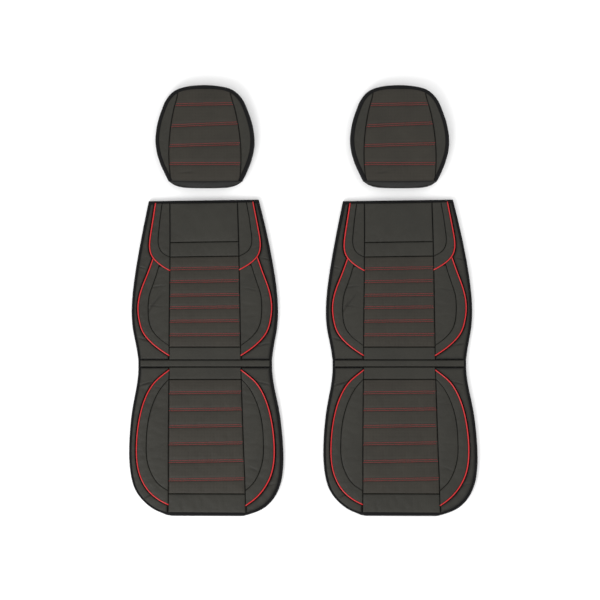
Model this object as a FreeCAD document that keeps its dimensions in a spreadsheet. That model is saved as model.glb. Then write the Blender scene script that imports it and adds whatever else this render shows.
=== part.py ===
import FreeCAD, Part
import os
import Sketcher

# Seat cover set, laid flat: two identical front-seat covers side by side with their front edges
# towards -Y, and a headrest cover above each. Millimetres, +Z up, origin on the surface the set
# lies on, under the middle of the whole set.
#
# A cover's own frame has its origin on its centre line at the front edge of the seat, and a
# headrest cover's own frame has it on its centre line at the edge of the pouch's mouth.

Vector = FreeCAD.Vector
doc = FreeCAD.newDocument("SeatCoverSet")

SIZES = (
    # one cover, seen from above
    ("seat_length", 512.5),          # front edge to the fold between seat and gusset
    ("gusset_length", 24.7),         # between the two folds
    ("back_length", 547.8),          # fold between gusset and backrest to the top edge
    ("seat_width", 530.0),           # widest part of the seat
    ("waist_width", 459.4),          # at the gusset
    ("back_width", 503.0),           # widest part of the backrest
    ("top_width", 378.0),            # top edge of the backrest
    ("centre_front_width", 268.0),   # centre panels at the front edge
    ("centre_waist_width", 247.6),   # centre panels at the gusset
    ("centre_top_width", 232.6),     # centre panels at the top edge
    ("seat_front_strip", 77.0),      # plain strip in front of the quilted seat panel
    ("seat_rear_strip", 42.5),       # plain strip behind it
    ("lumbar_strip", 43.8),          # plain strip under the quilted back panel
    ("chest_strip", 49.8),           # plain strip above it
    ("head_panel", 143.4),           # plain panel at the top of the backrest
    ("binding_width", 7.0),
    ("seam_gap", 0.6),
    ("fold_gap", 0.6),
    ("piping_diameter", 5.0),
    ("piping_clearance", 0.2),
    # one cover, in height
    ("underside_room", 10.0),        # where the strap, buckle, discs and hooks lie
    ("backing_thickness", 1.5),
    ("panel_thickness", 9.5),        # leather face with its foam
    ("piping_rise", 2.5),            # of the piping over the panels
    ("binding_height", 14.0),
    # webbing, and the forks with a round bar that it loops round
    ("webbing_width", 25.0),
    ("webbing_thickness", 1.6),
    ("webbing_hem", 12.0),           # doubled and sewn end
    ("bar_diameter", 3.4),
    ("bar_height", 5.2),             # of the bar's axis over the floor
    ("loop_clearance", 0.6),         # between the bar and the webbing round it
    ("fork_rail", 3.0),              # width of each arm that carries the bar
    ("plate_thickness", 4.0),
    # strap and buckle across the back
    ("strap_from_fold", 262.0),
    ("strap_inset", 22.0),           # strap's sewn ends from the edge of the backrest
    ("buckle_length", 30.0),
    ("buckle_width", 36.0),
    ("buckle_thickness", 7.6),
    ("tongue_width", 22.0),
    ("tongue_length", 20.0),
    ("tongue_thickness", 3.6),
    ("tongue_clearance", 0.3),
    ("tongue_head", 8.0),
    ("mouth_gap", 0.5),
    # anchor discs at the crease and hooks at the front corners
    ("anchor_spacing", 240.0),
    ("anchor_tab_reach", 34.0),
    ("disc_diameter", 46.0),
    ("hook_spacing", 250.0),
    ("hook_from_front", 62.0),
    ("hook_loop_reach", 26.0),
    ("hook_ring_diameter", 28.0),
    ("hook_ring_hole", 17.0),
    ("hook_throat", 8.0),
    # headrest cover
    ("headrest_length", 350.0),
    ("headrest_width", 340.0),
    ("headrest_height", 45.0),
    ("headrest_panel", 7.0),         # front panel with its foam
    ("headrest_back_thickness", 2.5),
    ("headrest_wall", 4.0),
    ("hem_length", 18.5),
    ("hem_mouth_width", 168.0),
    ("hem_wall", 4.0),
    # layout of the set
    ("cover_spacing", 667.6),        # between the two covers' centre lines
    ("headrest_gap", 44.0),
)

sheet = doc.addObject("Spreadsheet::Sheet", "Sizes")
for row, (alias, value) in enumerate(SIZES, start=1):
    sheet.set(f"A{row}", alias)
    sheet.set(f"B{row}", str(value))
    sheet.setAlias(f"B{row}", alias)
doc.recompute()


def mm(alias):
    """The size with this name, in millimetres."""
    return float(getattr(sheet, alias))


SEAT_FOLD = mm("seat_length")
BACK_FOLD = SEAT_FOLD + mm("gusset_length")
COVER_LENGTH = BACK_FOLD + mm("back_length")
BACKING_BASE = mm("underside_room")
PANEL_BASE = BACKING_BASE + mm("backing_thickness")
PANEL_TOP = PANEL_BASE + mm("panel_thickness")
SET_LENGTH = "(Sizes.seat_length + Sizes.gusset_length + Sizes.back_length + Sizes.headrest_gap" \
             " + Sizes.headrest_length)"
FAR = 2000.0   # longer than anything here, for cutting tools

# Each seam is a row of (across, along). Across is the share of the way from the centre panel's
# edge (0) to the outer edge (1); along is the share of the seat's or the backrest's length.
SEAT_PIPING = ((-0.04, 0.985), (0.20, 0.946), (0.43, 0.90), (0.61, 0.831), (0.76, 0.652),
               (0.79, 0.464), (0.73, 0.285), (0.49, 0.148), (0.24, 0.10), (-0.04, 0.073))
SEAT_SEAM = ((-0.03, 0.925), (0.21, 0.866), (0.39, 0.784), (0.51, 0.652), (0.535, 0.49),
             (0.50, 0.367), (0.42, 0.295), (0.28, 0.228), (-0.03, 0.168))
WING_PIPING = ((0.665, 1.02), (0.70, 0.872), (0.71, 0.777), (0.69, 0.713), (0.61, 0.664),
               (0.32, 0.602), (-0.05, 0.557))
WING_SEAM = ((0.35, 1.02), (0.43, 0.889), (0.44, 0.796), (0.41, 0.724), (0.31, 0.686),
             (-0.03, 0.645))
BOLSTER_PIPING = ((0.53, 0.65), (0.67, 0.531), (0.76, 0.458), (0.83, 0.318), (0.80, 0.248),
                  (0.73, 0.177), (0.59, 0.126), (0.37, 0.08), (-0.05, 0.022))
BOLSTER_SEAM = ((0.32, 0.613), (0.48, 0.474), (0.55, 0.412), (0.57, 0.318), (0.49, 0.197),
                (0.32, 0.143), (-0.04, 0.085))


def spline(points, **tangents):
    """A smooth curve through points given as (x, y)."""
    curve = Part.BSplineCurve()
    curve.interpolate([Vector(x, y, 0) for x, y in points], **tangents)
    return curve


def segment(start, end):
    """A straight edge between two points given as (x, y)."""
    return Part.LineSegment(Vector(*start, 0), Vector(*end, 0)).toShape()


def polygon(points):
    """A flat face with straight sides."""
    corners = [Vector(x, y, 0) for x, y in points]
    return Part.Face(Part.makePolygon(corners + corners[:1]))


def mirrored(shape):
    """The shape on the other side of the centre line."""
    return shape.mirror(Vector(0, 0, 0), Vector(1, 0, 0))


def prism(face, base, top):
    """The flat face made solid between two heights."""
    lifted = face.copy()
    lifted.translate(Vector(0, 0, base))
    return lifted.extrude(Vector(0, 0, top - base))


def solids_of(shape):
    """A node's shape: a group of separate solids, or the one solid itself."""
    parts = shape.Solids
    return parts[0] if len(parts) == 1 else Part.makeCompound(parts)


def pair(shape):
    """The solid on the right and its mirror image on the left, as one group."""
    return Part.makeCompound(shape.Solids + mirrored(shape).Solids)


# The right-hand edge of a cover, as two curves with a straight stretch along the gusset.

def back_edge():
    """The backrest's edge: out from the waist to its widest part, then in to the top corner."""
    waist, widest, top = mm("waist_width") / 2, mm("back_width") / 2, mm("top_width") / 2
    lower = ((0.0, 0.0), (0.32, 0.0865), (0.80, 0.187), (1.0, 0.287))
    upper = ((0.877, 0.487), (0.588, 0.688), (0.224, 0.889), (0.0, 1.0))
    points = [(waist + share * (widest - waist), along) for share, along in lower]
    points += [(top + share * (widest - top), along) for share, along in upper]
    return spline([(x, BACK_FOLD + along * mm("back_length")) for x, along in points])


def seat_edge():
    """The seat's edge: out from the waist to its widest part, then round the front corner."""
    waist, widest = mm("waist_width") / 2, mm("seat_width") / 2
    flank = ((0.0, 1.0), (0.19, 0.872), (0.64, 0.712), (0.88, 0.578), (1.0, 0.444))
    corner = ((0.985, 0.283), (0.929, 0.176), (0.824, 0.0956), (0.691, 0.042), (0.567, 0.0154),
              (0.44, 0.0))
    points = [(waist + share * (widest - waist), along) for share, along in flank]
    points += [(share * widest, along) for share, along in corner]
    return spline([(x, along * mm("seat_length")) for x, along in points],
                  InitialTangent=Vector(0, -1, 0), FinalTangent=Vector(-1, 0, 0))


BACK_EDGE = back_edge()
SEAT_EDGE = seat_edge()


def edge_at(curve, y):
    """Half the width between the edges where they are at this y, found by halving."""
    low, high = curve.FirstParameter, curve.LastParameter
    rising = curve.value(high).y > curve.value(low).y
    for _ in range(40):
        middle = (low + high) / 2
        if (curve.value(middle).y < y) == rising:
            low = middle
        else:
            high = middle
    return curve.value(low).x


def centre_half(y):
    """Half the width of the centre panels at this y."""
    if y < SEAT_FOLD:
        share = (SEAT_FOLD - y) / mm("seat_length")
        return (mm("centre_waist_width") * (1 - share) + mm("centre_front_width") * share) / 2
    share = max(0.0, (y - BACK_FOLD) / mm("back_length"))
    return (mm("centre_waist_width") * (1 - share) + mm("centre_top_width") * share) / 2


def seam_points(row, edge, start, length):
    """A seam's shares turned into points."""
    points = []
    for across, along in row:
        y = start + along * length
        inner = centre_half(y)
        outer = edge_at(edge, y)
        points.append((inner + across * (outer - inner), y))
    return points


def shifted(curve, distance, steps):
    """Points along a curve, moved to its left by a distance."""
    points = []
    for step in range(steps + 1):
        place = curve.FirstParameter + (curve.LastParameter - curve.FirstParameter) * step / steps
        centre = curve.value(place)
        along = curve.tangent(place)[0]
        points.append((centre.x - along.y * distance, centre.y + along.x * distance))
    return points


def ribbon(points, width):
    """A flat band of even width along a smooth curve through the points."""
    curve = spline(points)
    left, right = (shifted(curve, sign * width / 2, 3 * len(points)) for sign in (1, -1))
    edges = [spline(left).toShape(), segment(left[-1], right[-1]),
             spline(right[::-1]).toShape(), segment(right[0], left[0])]
    return Part.Face(Part.Wire(edges))


def closed_outline(right_edges):
    """The face inside the right-hand edges and their mirror images."""
    edges = right_edges + [mirrored(edge) for edge in right_edges]
    face = Part.Face(Part.Wire(Part.__sortEdges__(edges)))
    if not face.isValid():
        raise ValueError("an outline does not close on the centre line")
    return face


def cover_outline(inset):
    """The whole cover from its front edge to its top edge, drawn in by inset on every side."""
    steps = 24
    back = shifted(BACK_EDGE, inset, steps)
    seat = shifted(SEAT_EDGE, -inset, steps)
    edges = [segment((0, back[-1][1]), back[-1]),
             spline(back).toShape(),
             segment(back[0], seat[0]),
             spline(seat).toShape(),
             segment(seat[-1], (0, seat[-1][1]))]
    return closed_outline(edges).common(between(-FAR, COVER_LENGTH - inset))


def between(low, high):
    """A block across the cover between two fold lines or edges, for cutting it into bodies."""
    block = Part.makeBox(2 * FAR, high - low, 2 * FAR)
    block.translate(Vector(-FAR, low, -FAR))
    return block


OUTLINE = cover_outline(0.0)
INSIDE = cover_outline(mm("binding_width"))
HALF_FOLD = mm("fold_gap") / 2
SEAT_REACH = between(-FAR, SEAT_FOLD - HALF_FOLD)
GUSSET_REACH = between(SEAT_FOLD + HALF_FOLD, BACK_FOLD - HALF_FOLD)
BACK_REACH = between(BACK_FOLD + HALF_FOLD, COVER_LENGTH + FAR)


def centre_area(extra):
    """The strip down the middle that holds the centre panels, widened by extra on each side."""
    ends = (0.0, SEAT_FOLD, BACK_FOLD, COVER_LENGTH)
    right = [(centre_half(y) + extra, y) for y in ends]
    left = [(-x, y) for x, y in reversed(right)]
    return polygon(right + left)


def cross_seam(y):
    """A straight seam across the centre panels."""
    half = mm("seam_gap") / 2
    return between(y - half, y + half)


def centre_panels(reach, seams):
    """The centre panels of one body, cut along their cross seams."""
    inside = INSIDE.common(centre_area(-mm("seam_gap") / 2))
    slab = prism(inside, PANEL_BASE, PANEL_TOP).common(reach)
    return slab.cut([cross_seam(y) for y in seams])


def side_slab(reach, base, top):
    """Everything on the right of the centre panels, inside the binding."""
    outside = INSIDE.cut(centre_area(mm("seam_gap") / 2))
    right = Part.makeBox(FAR, 2 * FAR, 2 * FAR, Vector(0, -FAR, -FAR))
    return prism(outside, base, top).common(reach).common(right)


def knife(points, width):
    """A cutting tool that opens a seam of this width along the points."""
    return prism(ribbon(points, width), -1.0, PANEL_TOP + 1.0)


def part_at(shape, x, y):
    """The one solid of a cut-up slab that holds the point."""
    spot = Vector(x, y, (PANEL_BASE + PANEL_TOP) / 2)
    return next(solid for solid in shape.Solids if solid.isInside(spot, 0.01, True))


def all_but(shape, *taken):
    """The solids of a cut-up slab that are left when some are taken away."""
    return [solid for solid in shape.Solids if not any(solid.isSame(other) for other in taken)]


def piping(points, reach):
    """A bead that stands in its seam and rises over the panels beside it."""
    top = PANEL_TOP + mm("piping_rise")
    bead = prism(ribbon(points, mm("piping_diameter")), PANEL_BASE, top)
    return bead.common(side_slab(reach, PANEL_BASE, top))


PIPING_SEAM = mm("piping_diameter") + 2 * mm("piping_clearance")


def beside(points, index, share):
    """A point on a seam's curve moved to a share of its distance from the centre panel."""
    x, y = points[index]
    inner = centre_half(y)
    return inner + share * (x - inner), y


def seat_panels():
    """The seat's side, cut into the inner and outer bolster panels and the side panel."""
    length = mm("seat_length")
    bead = seam_points(SEAT_PIPING, SEAT_EDGE, 0.0, length)
    seam = seam_points(SEAT_SEAM, SEAT_EDGE, 0.0, length)
    slab = side_slab(SEAT_REACH, PANEL_BASE, PANEL_TOP)
    parts = slab.cut([knife(bead, PIPING_SEAM), knife(seam, mm("seam_gap"))])
    inner = part_at(parts, *beside(seam, 4, 0.5))
    outer = part_at(parts, *beside(bead, 5, 0.85))
    side = all_but(parts, inner, outer)
    return Part.makeCompound([inner, outer]), Part.makeCompound(side), piping(bead, SEAT_REACH)


def back_panels():
    """The backrest's side, cut into two wing panels, two bolster panels and the side panel."""
    length = mm("back_length")
    seams = [seam_points(row, BACK_EDGE, BACK_FOLD, length)
             for row in (WING_PIPING, WING_SEAM, BOLSTER_PIPING, BOLSTER_SEAM)]
    wing_bead, wing_seam, bolster_bead, bolster_seam = seams
    slab = side_slab(BACK_REACH, PANEL_BASE, PANEL_TOP)
    halves = slab.cut(knife(wing_bead, PIPING_SEAM))
    wing = part_at(halves, *beside(wing_bead, 1, 0.5))
    rest = Part.makeCompound(all_but(halves, wing))
    wings = wing.cut(knife(wing_seam, mm("seam_gap")))
    parts = rest.cut([knife(bolster_bead, PIPING_SEAM), knife(bolster_seam, mm("seam_gap"))])
    inner = part_at(parts, *beside(bolster_seam, 3, 0.5))
    outer = part_at(parts, *beside(bolster_bead, 3, 0.85))
    side = all_but(parts, inner, outer)
    upper_bead = piping(wing_bead, BACK_REACH)
    lower_bead = piping(bolster_bead, BACK_REACH).cut(wing).cut(knife(wing_bead, PIPING_SEAM))
    beads = Part.makeCompound(upper_bead.Solids + lower_bead.Solids)
    bolsters = Part.makeCompound([inner, outer])
    return wings, bolsters, Part.makeCompound(side), beads


def binding(reach):
    """The tape round the edge, which stands on the floor and holds the panels' rims."""
    ring = OUTLINE.cut(INSIDE)
    return prism(ring, 0.0, mm("binding_height")).common(reach)


def backing(reach):
    """The cloth under the panels."""
    return prism(INSIDE, BACKING_BASE, PANEL_BASE).common(reach)


# Webbing that loops round a bar. Its own frame has the bar's axis along X through the origin, and
# the webbing leaves the bar towards -Y.

def webbing(reach, lift):
    """A strip from its sewn root to a loop round the bar; the root rises by lift to the cloth."""
    inner = mm("bar_diameter") / 2 + mm("loop_clearance")
    outer = inner + mm("webbing_thickness")
    half = mm("webbing_width") / 2
    hem = mm("webbing_hem")

    def block(y_low, y_high, z_low, z_high):
        size = (2 * half, y_high - y_low, z_high - z_low)
        return Part.makeBox(*size, Vector(-half, y_low, z_low))

    upper = block(-reach, outer, inner, outer)
    turn = block(inner, outer, -outer, outer)
    lower = block(-hem, outer, -outer, -inner)
    root = block(-reach - hem, -reach, inner, lift)
    return upper.fuse([turn, lower, root]).removeSplitter()


def turned(shape, angle, x, y, z):
    """A shape turned about Z through its own origin, then moved."""
    shape = shape.copy()
    shape.rotate(Vector(0, 0, 0), Vector(0, 0, 1), angle)
    shape.translate(Vector(x, y, z))
    return shape


BAR_HEIGHT = mm("bar_height")
ROOT_LIFT = BACKING_BASE - BAR_HEIGHT
ANCHOR_BAR = BACK_FOLD - HALF_FOLD - mm("webbing_hem") / 2 + mm("anchor_tab_reach")
STRAP_LINE = BACK_FOLD + mm("strap_from_fold")
SOCKET_BAR = -mm("mouth_gap") / 2 - mm("buckle_length") - mm("fork_rail")
TONGUE_BAR = mm("mouth_gap") / 2 + mm("tongue_head") + mm("fork_rail") + mm("webbing_thickness") \
             + mm("bar_diameter") / 2 + mm("loop_clearance")


def anchor_tabs():
    """The two webbing tabs that are sewn under the gusset and reach back under the backrest."""
    tab = webbing(mm("anchor_tab_reach"), ROOT_LIFT)
    return pair(turned(tab, 0, mm("anchor_spacing") / 2, ANCHOR_BAR, BAR_HEIGHT))


def hook_loops():
    """The two elastic loops that are sewn under the seat's front corners."""
    loop = webbing(mm("hook_loop_reach"), ROOT_LIFT)
    return pair(turned(loop, 0, mm("hook_spacing") / 2, mm("hook_from_front"), BAR_HEIGHT))


def back_strap():
    """The elastic strap in two halves, from the sides of the backrest to the buckle."""
    end = edge_at(BACK_EDGE, STRAP_LINE) - mm("strap_inset")
    left = webbing(end + SOCKET_BAR - mm("webbing_hem"), ROOT_LIFT)
    right = webbing(end - TONGUE_BAR - mm("webbing_hem"), ROOT_LIFT)
    halves = [turned(left, -90, SOCKET_BAR, STRAP_LINE, BAR_HEIGHT),
              turned(right, 90, TONGUE_BAR, STRAP_LINE, BAR_HEIGHT)]
    return Part.makeCompound(halves)


# The headrest cover: a flat pouch with its mouth towards -Y.

def headrest_outline(inset):
    """The pouch above its hem, drawn in by inset on every side."""
    half, length = mm("headrest_width") / 2, mm("headrest_length")
    shares = ((0.745, mm("hem_length") / length), (0.822, 0.131), (0.951, 0.289), (1.0, 0.43),
              (0.965, 0.603), (0.866, 0.76), (0.745, 0.877), (0.566, 0.954), (0.30, 0.99),
              (0.0, 1.0))
    edge = spline([(across * half, along * length) for across, along in shares],
                  FinalTangent=Vector(-1, 0, 0))
    points = shifted(edge, inset, 3 * len(shares))
    points[-1] = (0.0, points[-1][1])
    mouth = segment((0, points[0][1]), points[0])
    rim = spline(points, FinalTangent=Vector(-1, 0, 0)).toShape()
    whole = closed_outline([rim, mouth])
    return whole.common(between(mm("hem_length") + inset, FAR))


HEADREST_SEAM = ((0.532, 1.02), (0.532, 0.911), (0.585, 0.81), (0.674, 0.611), (0.716, 0.434),
                 (0.724, 0.269), (0.699, 0.082), (0.68, 0.0))


def headrest_shapes():
    """The front panel, side panels, rim band, back panel and hem, each a separate solid."""
    outline = headrest_outline(0.0)
    half, length = mm("headrest_width") / 2, mm("headrest_length")
    hem_end, wall = mm("hem_length"), mm("headrest_wall")
    back_top = mm("headrest_back_thickness")
    front_base = mm("headrest_height") - mm("headrest_panel")
    seam = ribbon([(across * half, along * length) for across, along in HEADREST_SEAM],
                  mm("seam_gap"))
    tools = [prism(face, 0.0, mm("headrest_height") + 1) for face in (seam, mirrored(seam))]
    front = prism(outline, front_base, mm("headrest_height")).cut(tools)
    middle = next(solid for solid in front.Solids if abs(solid.CenterOfMass.x) < 1.0)
    sides = Part.makeCompound(all_but(front, middle))
    mouth_half = mm("hem_mouth_width") / 2
    root_half = outline.BoundBox.XMax * 0.745
    open_half = root_half - wall
    mouth = Part.makeBox(2 * open_half, wall + 2, mm("headrest_height"),
                         Vector(-open_half, hem_end - 1, 0))
    ring = prism(outline.cut(headrest_outline(wall)), back_top, front_base)
    ring = ring.cut(mouth)
    back = prism(outline, 0.0, back_top)
    skirt = [(root_half, hem_end), (mouth_half, 0), (-mouth_half, 0), (-root_half, hem_end)]
    thick = mm("hem_wall")
    hole = [(root_half - thick, hem_end + 1), (mouth_half - thick, -1),
            (thick - mouth_half, -1), (thick - root_half, hem_end + 1)]
    hem = prism(polygon(skirt), 0.0, mm("headrest_height"))
    hem = hem.cut(prism(polygon(hole), thick, mm("headrest_height") - thick))
    return (("front_panel", middle), ("side_panels", sides), ("rim_band", ring),
            ("back_panel", back), ("elastic_hem", hem))


# Objects of the document. SIDE_X moves each half of the set to its own centre line.

SIDE_X = {"left": "-Sizes.cover_spacing / 2", "right": "Sizes.cover_spacing / 2"}
COVER_Y = f"-{SET_LENGTH} / 2"
HEADREST_Y = f"{SET_LENGTH} / 2 - Sizes.headrest_length"
nodes = []


def place(thing, x, y, z="0"):
    """Tie an object's place to the sheet and keep it as one of the set's pieces."""
    for axis, words in zip("xyz", (x, y, z)):
        thing.setExpression(f"Placement.Base.{axis}", words)
    nodes.append(thing)


def add_shape(label, shape, x, y):
    """A sewn piece with a free outline."""
    piece = doc.addObject("Part::Feature", label)
    piece.Label = label
    piece.Shape = solids_of(shape)
    place(piece, x, y)


def origin_plane(body, role):
    """One of the body's own origin planes."""
    return next(plane for plane in body.Origin.OriginFeatures if plane.Role == role)


def new_sketch(body, name, role, x="0", y="0"):
    """A sketch on an origin plane, with its centre moved within that plane."""
    sketch = body.newObject("Sketcher::SketchObject", name)
    sketch.AttachmentSupport = [(origin_plane(body, role), "")]
    sketch.MapMode = "FlatFace"
    sketch.setExpression("AttachmentOffset.Base.x", x)
    sketch.setExpression("AttachmentOffset.Base.y", y)
    return sketch


def add_rectangle(sketch, width, height):
    """A rectangle about the sketch's centre, with its two sizes tied to the sheet."""
    corners = [Vector(x, y, 0) for x, y in ((-5, -5), (5, -5), (5, 5), (-5, 5))]
    for start, end in zip(corners, corners[1:] + corners[:1]):
        sketch.addGeometry(Part.LineSegment(start, end))
    for line in range(4):
        sketch.addConstraint(Sketcher.Constraint("Coincident", line, 2, (line + 1) % 4, 1))
        kind = "Horizontal" if line % 2 == 0 else "Vertical"
        sketch.addConstraint(Sketcher.Constraint(kind, line))
    sketch.addConstraint(Sketcher.Constraint("Symmetric", 0, 1, 1, 2, -1, 1))
    for name, kind, line, words in (("across", "DistanceX", 0, width),
                                    ("upright", "DistanceY", 1, height)):
        index = sketch.addConstraint(Sketcher.Constraint(kind, line, 1, line, 2, 10.0))
        sketch.renameConstraint(index, name)
        sketch.setExpression(f"Constraints.{name}", words)


def add_circle(sketch, name, diameter):
    """A circle about the sketch's centre, with its diameter tied to the sheet."""
    line = sketch.addGeometry(Part.Circle(Vector(0, 0, 0), Vector(0, 0, 1), 5.0))
    sketch.addConstraint(Sketcher.Constraint("Coincident", line, 3, -1, 1))
    index = sketch.addConstraint(Sketcher.Constraint("Diameter", line, 10.0))
    sketch.renameConstraint(index, name)
    sketch.setExpression(f"Constraints.{name}", diameter)


def both_ways(body, kind, name, sketch, length):
    """A pad or pocket that goes half its length to each side of its sketch."""
    feature = body.newObject(f"PartDesign::{kind}", name)
    feature.Profile = sketch
    feature.SideType = "Symmetric"
    feature.setExpression("Length", length)
    return feature


BAR_RADIUS = "Sizes.bar_diameter / 2"
LOOP_OUT = f"({BAR_RADIUS} + Sizes.loop_clearance + Sizes.webbing_thickness)"
SLOT_END = f"({LOOP_OUT} + Sizes.webbing_thickness)"
SLOT_WIDTH = "(Sizes.webbing_width + 2 * Sizes.loop_clearance)"
FORK_WIDTH = f"({SLOT_WIDTH} + 2 * Sizes.fork_rail)"


def add_fork(body, thickness, root):
    """Two arms with a round bar between them, on the body's X axis; they grow from +Y."""
    near = f"({BAR_RADIUS} + Sizes.loop_clearance)"
    length = f"({near} + {SLOT_END} + {root})"
    arms = new_sketch(body, "Arms", "XY_Plane", y=f"{length} / 2 - {near}")
    add_rectangle(arms, FORK_WIDTH, length)
    both_ways(body, "Pad", "ArmPad", arms, thickness)
    slot = new_sketch(body, "Slot", "XY_Plane")
    add_rectangle(slot, SLOT_WIDTH, f"2 * {SLOT_END}")
    both_ways(body, "Pocket", "SlotPocket", slot, f"2 * {thickness}")
    bar = new_sketch(body, "Bar", "YZ_Plane")
    add_circle(bar, "rod", "Sizes.bar_diameter")
    both_ways(body, "Pad", "BarPad", bar, f"{SLOT_WIDTH} + Sizes.fork_rail")


def add_anchor(label, x, y):
    """A flat disc on a fork: it is pushed through the seat's crease and holds behind it."""
    body = doc.addObject("PartDesign::Body", label)
    middle = f"{SLOT_END} + Sizes.disc_diameter / 2"
    disc = new_sketch(body, "Disc", "XY_Plane", y=middle)
    add_circle(disc, "disc", "Sizes.disc_diameter")
    both_ways(body, "Pad", "DiscPad", disc, "Sizes.plate_thickness")
    add_fork(body, "Sizes.plate_thickness", "Sizes.disc_diameter / 4")
    place(body, x, y, "Sizes.bar_height")


def add_hook(label, x, y):
    """A flat open ring on a fork: it hooks on to the frame under the seat."""
    body = doc.addObject("PartDesign::Body", label)
    middle = f"{SLOT_END} + Sizes.hook_ring_diameter / 2 + Sizes.fork_rail / 2"
    ring = new_sketch(body, "Ring", "XY_Plane", y=middle)
    add_circle(ring, "ring", "Sizes.hook_ring_diameter")
    both_ways(body, "Pad", "RingPad", ring, "Sizes.plate_thickness")
    add_fork(body, "Sizes.plate_thickness", "Sizes.fork_rail")
    hole = new_sketch(body, "Hole", "XY_Plane", y=middle)
    add_circle(hole, "hole", "Sizes.hook_ring_hole")
    both_ways(body, "Pocket", "HolePocket", hole, "2 * Sizes.plate_thickness")
    gap = new_sketch(body, "Throat", "XY_Plane", x="-Sizes.hook_ring_diameter / 2", y=middle)
    add_rectangle(gap, "Sizes.hook_ring_diameter / 2", "Sizes.hook_throat")
    both_ways(body, "Pocket", "ThroatPocket", gap, "2 * Sizes.plate_thickness")
    place(body, x, y, "Sizes.bar_height")


STRAP_Y = f"{COVER_Y} + Sizes.seat_length + Sizes.gusset_length + Sizes.strap_from_fold"


def add_socket(label, x):
    """The socket half of the buckle. Its own frame has the bar on X and the mouth towards +Y."""
    body = doc.addObject("PartDesign::Body", label)
    root = "Sizes.fork_rail"
    block_base = "Sizes.fork_rail"
    block = new_sketch(body, "Block", "XY_Plane", y=f"{block_base} + Sizes.buckle_length / 2")
    add_rectangle(block, "Sizes.buckle_width", "Sizes.buckle_length")
    both_ways(body, "Pad", "BlockPad", block, "Sizes.buckle_thickness")
    add_fork(body, "Sizes.plate_thickness", root)
    mouth = new_sketch(body, "Mouth", "XY_Plane",
                       y=f"{block_base} + Sizes.buckle_length - Sizes.tongue_length / 2")
    add_rectangle(mouth, "Sizes.tongue_width + 2 * Sizes.tongue_clearance",
                  "Sizes.tongue_length + 2 * Sizes.tongue_clearance")
    both_ways(body, "Pocket", "MouthPocket", mouth,
              "Sizes.tongue_thickness + 2 * Sizes.tongue_clearance")
    body.Placement.Rotation = FreeCAD.Rotation(Vector(0, 0, 1), -90)
    place(body, f"{x} - Sizes.mouth_gap / 2 - Sizes.buckle_length - Sizes.fork_rail", STRAP_Y,
          "Sizes.bar_height")


def add_tongue(label, x):
    """The tongue half of the buckle. Its own frame has the bar on X and the prong towards +Y."""
    body = doc.addObject("PartDesign::Body", label)
    head_base = f"{LOOP_OUT} + Sizes.fork_rail"
    head = new_sketch(body, "Head", "XY_Plane", y=f"{head_base} + Sizes.tongue_head / 2")
    add_rectangle(head, "Sizes.buckle_width", "Sizes.tongue_head")
    both_ways(body, "Pad", "HeadPad", head, "Sizes.buckle_thickness")
    prong = new_sketch(body, "Prong", "XY_Plane",
                       y=f"{head_base} + Sizes.tongue_head + Sizes.tongue_length / 2")
    add_rectangle(prong, "Sizes.tongue_width", "Sizes.tongue_length")
    both_ways(body, "Pad", "ProngPad", prong, "Sizes.tongue_thickness")
    add_fork(body, "Sizes.plate_thickness", "Sizes.fork_rail")
    body.Placement.Rotation = FreeCAD.Rotation(Vector(0, 0, 1), 90)
    place(body, f"{x} + Sizes.mouth_gap / 2 + Sizes.tongue_head + Sizes.fork_rail + {LOOP_OUT}",
          STRAP_Y, "Sizes.bar_height")


def cover_shapes():
    """Every sewn piece of one cover, by name."""
    bolsters, seat_side, seat_beads = seat_panels()
    wings, back_bolsters, back_side, back_beads = back_panels()
    seat_seams = (mm("seat_front_strip"), SEAT_FOLD - mm("seat_rear_strip"))
    head_line = COVER_LENGTH - mm("head_panel")
    back_seams = (BACK_FOLD + mm("lumbar_strip"), head_line - mm("chest_strip"), head_line)
    gusset = prism(INSIDE, BACKING_BASE, PANEL_TOP).common(GUSSET_REACH)
    return (
        ("seat_centre_panels", centre_panels(SEAT_REACH, seat_seams)),
        ("seat_bolsters", pair(bolsters)),
        ("seat_side_panels", pair(seat_side)),
        ("seat_piping", pair(seat_beads)),
        ("seat_binding", binding(SEAT_REACH)),
        ("seat_backing", backing(SEAT_REACH)),
        ("hook_loops", hook_loops()),
        ("gusset_strip", gusset),
        ("gusset_binding", binding(GUSSET_REACH)),
        ("anchor_tabs", anchor_tabs()),
        ("back_centre_panels", centre_panels(BACK_REACH, back_seams)),
        ("back_wings", pair(wings)),
        ("back_bolsters", pair(back_bolsters)),
        ("back_side_panels", pair(back_side)),
        ("back_piping", pair(back_beads)),
        ("back_binding", binding(BACK_REACH)),
        ("back_backing", backing(BACK_REACH)),
        ("back_strap", back_strap()),
    )


COVER_SHAPES = cover_shapes()
HEADREST_SHAPES = headrest_shapes()
ANCHOR_Y = f"{COVER_Y} + Sizes.seat_length + Sizes.gusset_length - Sizes.fold_gap / 2" \
           " - Sizes.webbing_hem / 2 + Sizes.anchor_tab_reach"
HOOK_Y = f"{COVER_Y} + Sizes.hook_from_front"

for side, x in SIDE_X.items():
    for name, shape in COVER_SHAPES:
        add_shape(f"{side}_{name}", shape, x, COVER_Y)
    for hand, sign in (("left", "-"), ("right", "+")):
        add_anchor(f"{side}_anchor_{hand}", f"{x} {sign} Sizes.anchor_spacing / 2", ANCHOR_Y)
        add_hook(f"{side}_hook_{hand}", f"{x} {sign} Sizes.hook_spacing / 2", HOOK_Y)
    add_socket(f"{side}_buckle_socket", x)
    add_tongue(f"{side}_buckle_tongue", x)
    for name, shape in HEADREST_SHAPES:
        add_shape(f"{side}_headrest_{name}", shape, x, HEADREST_Y)

doc.recompute()

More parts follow.
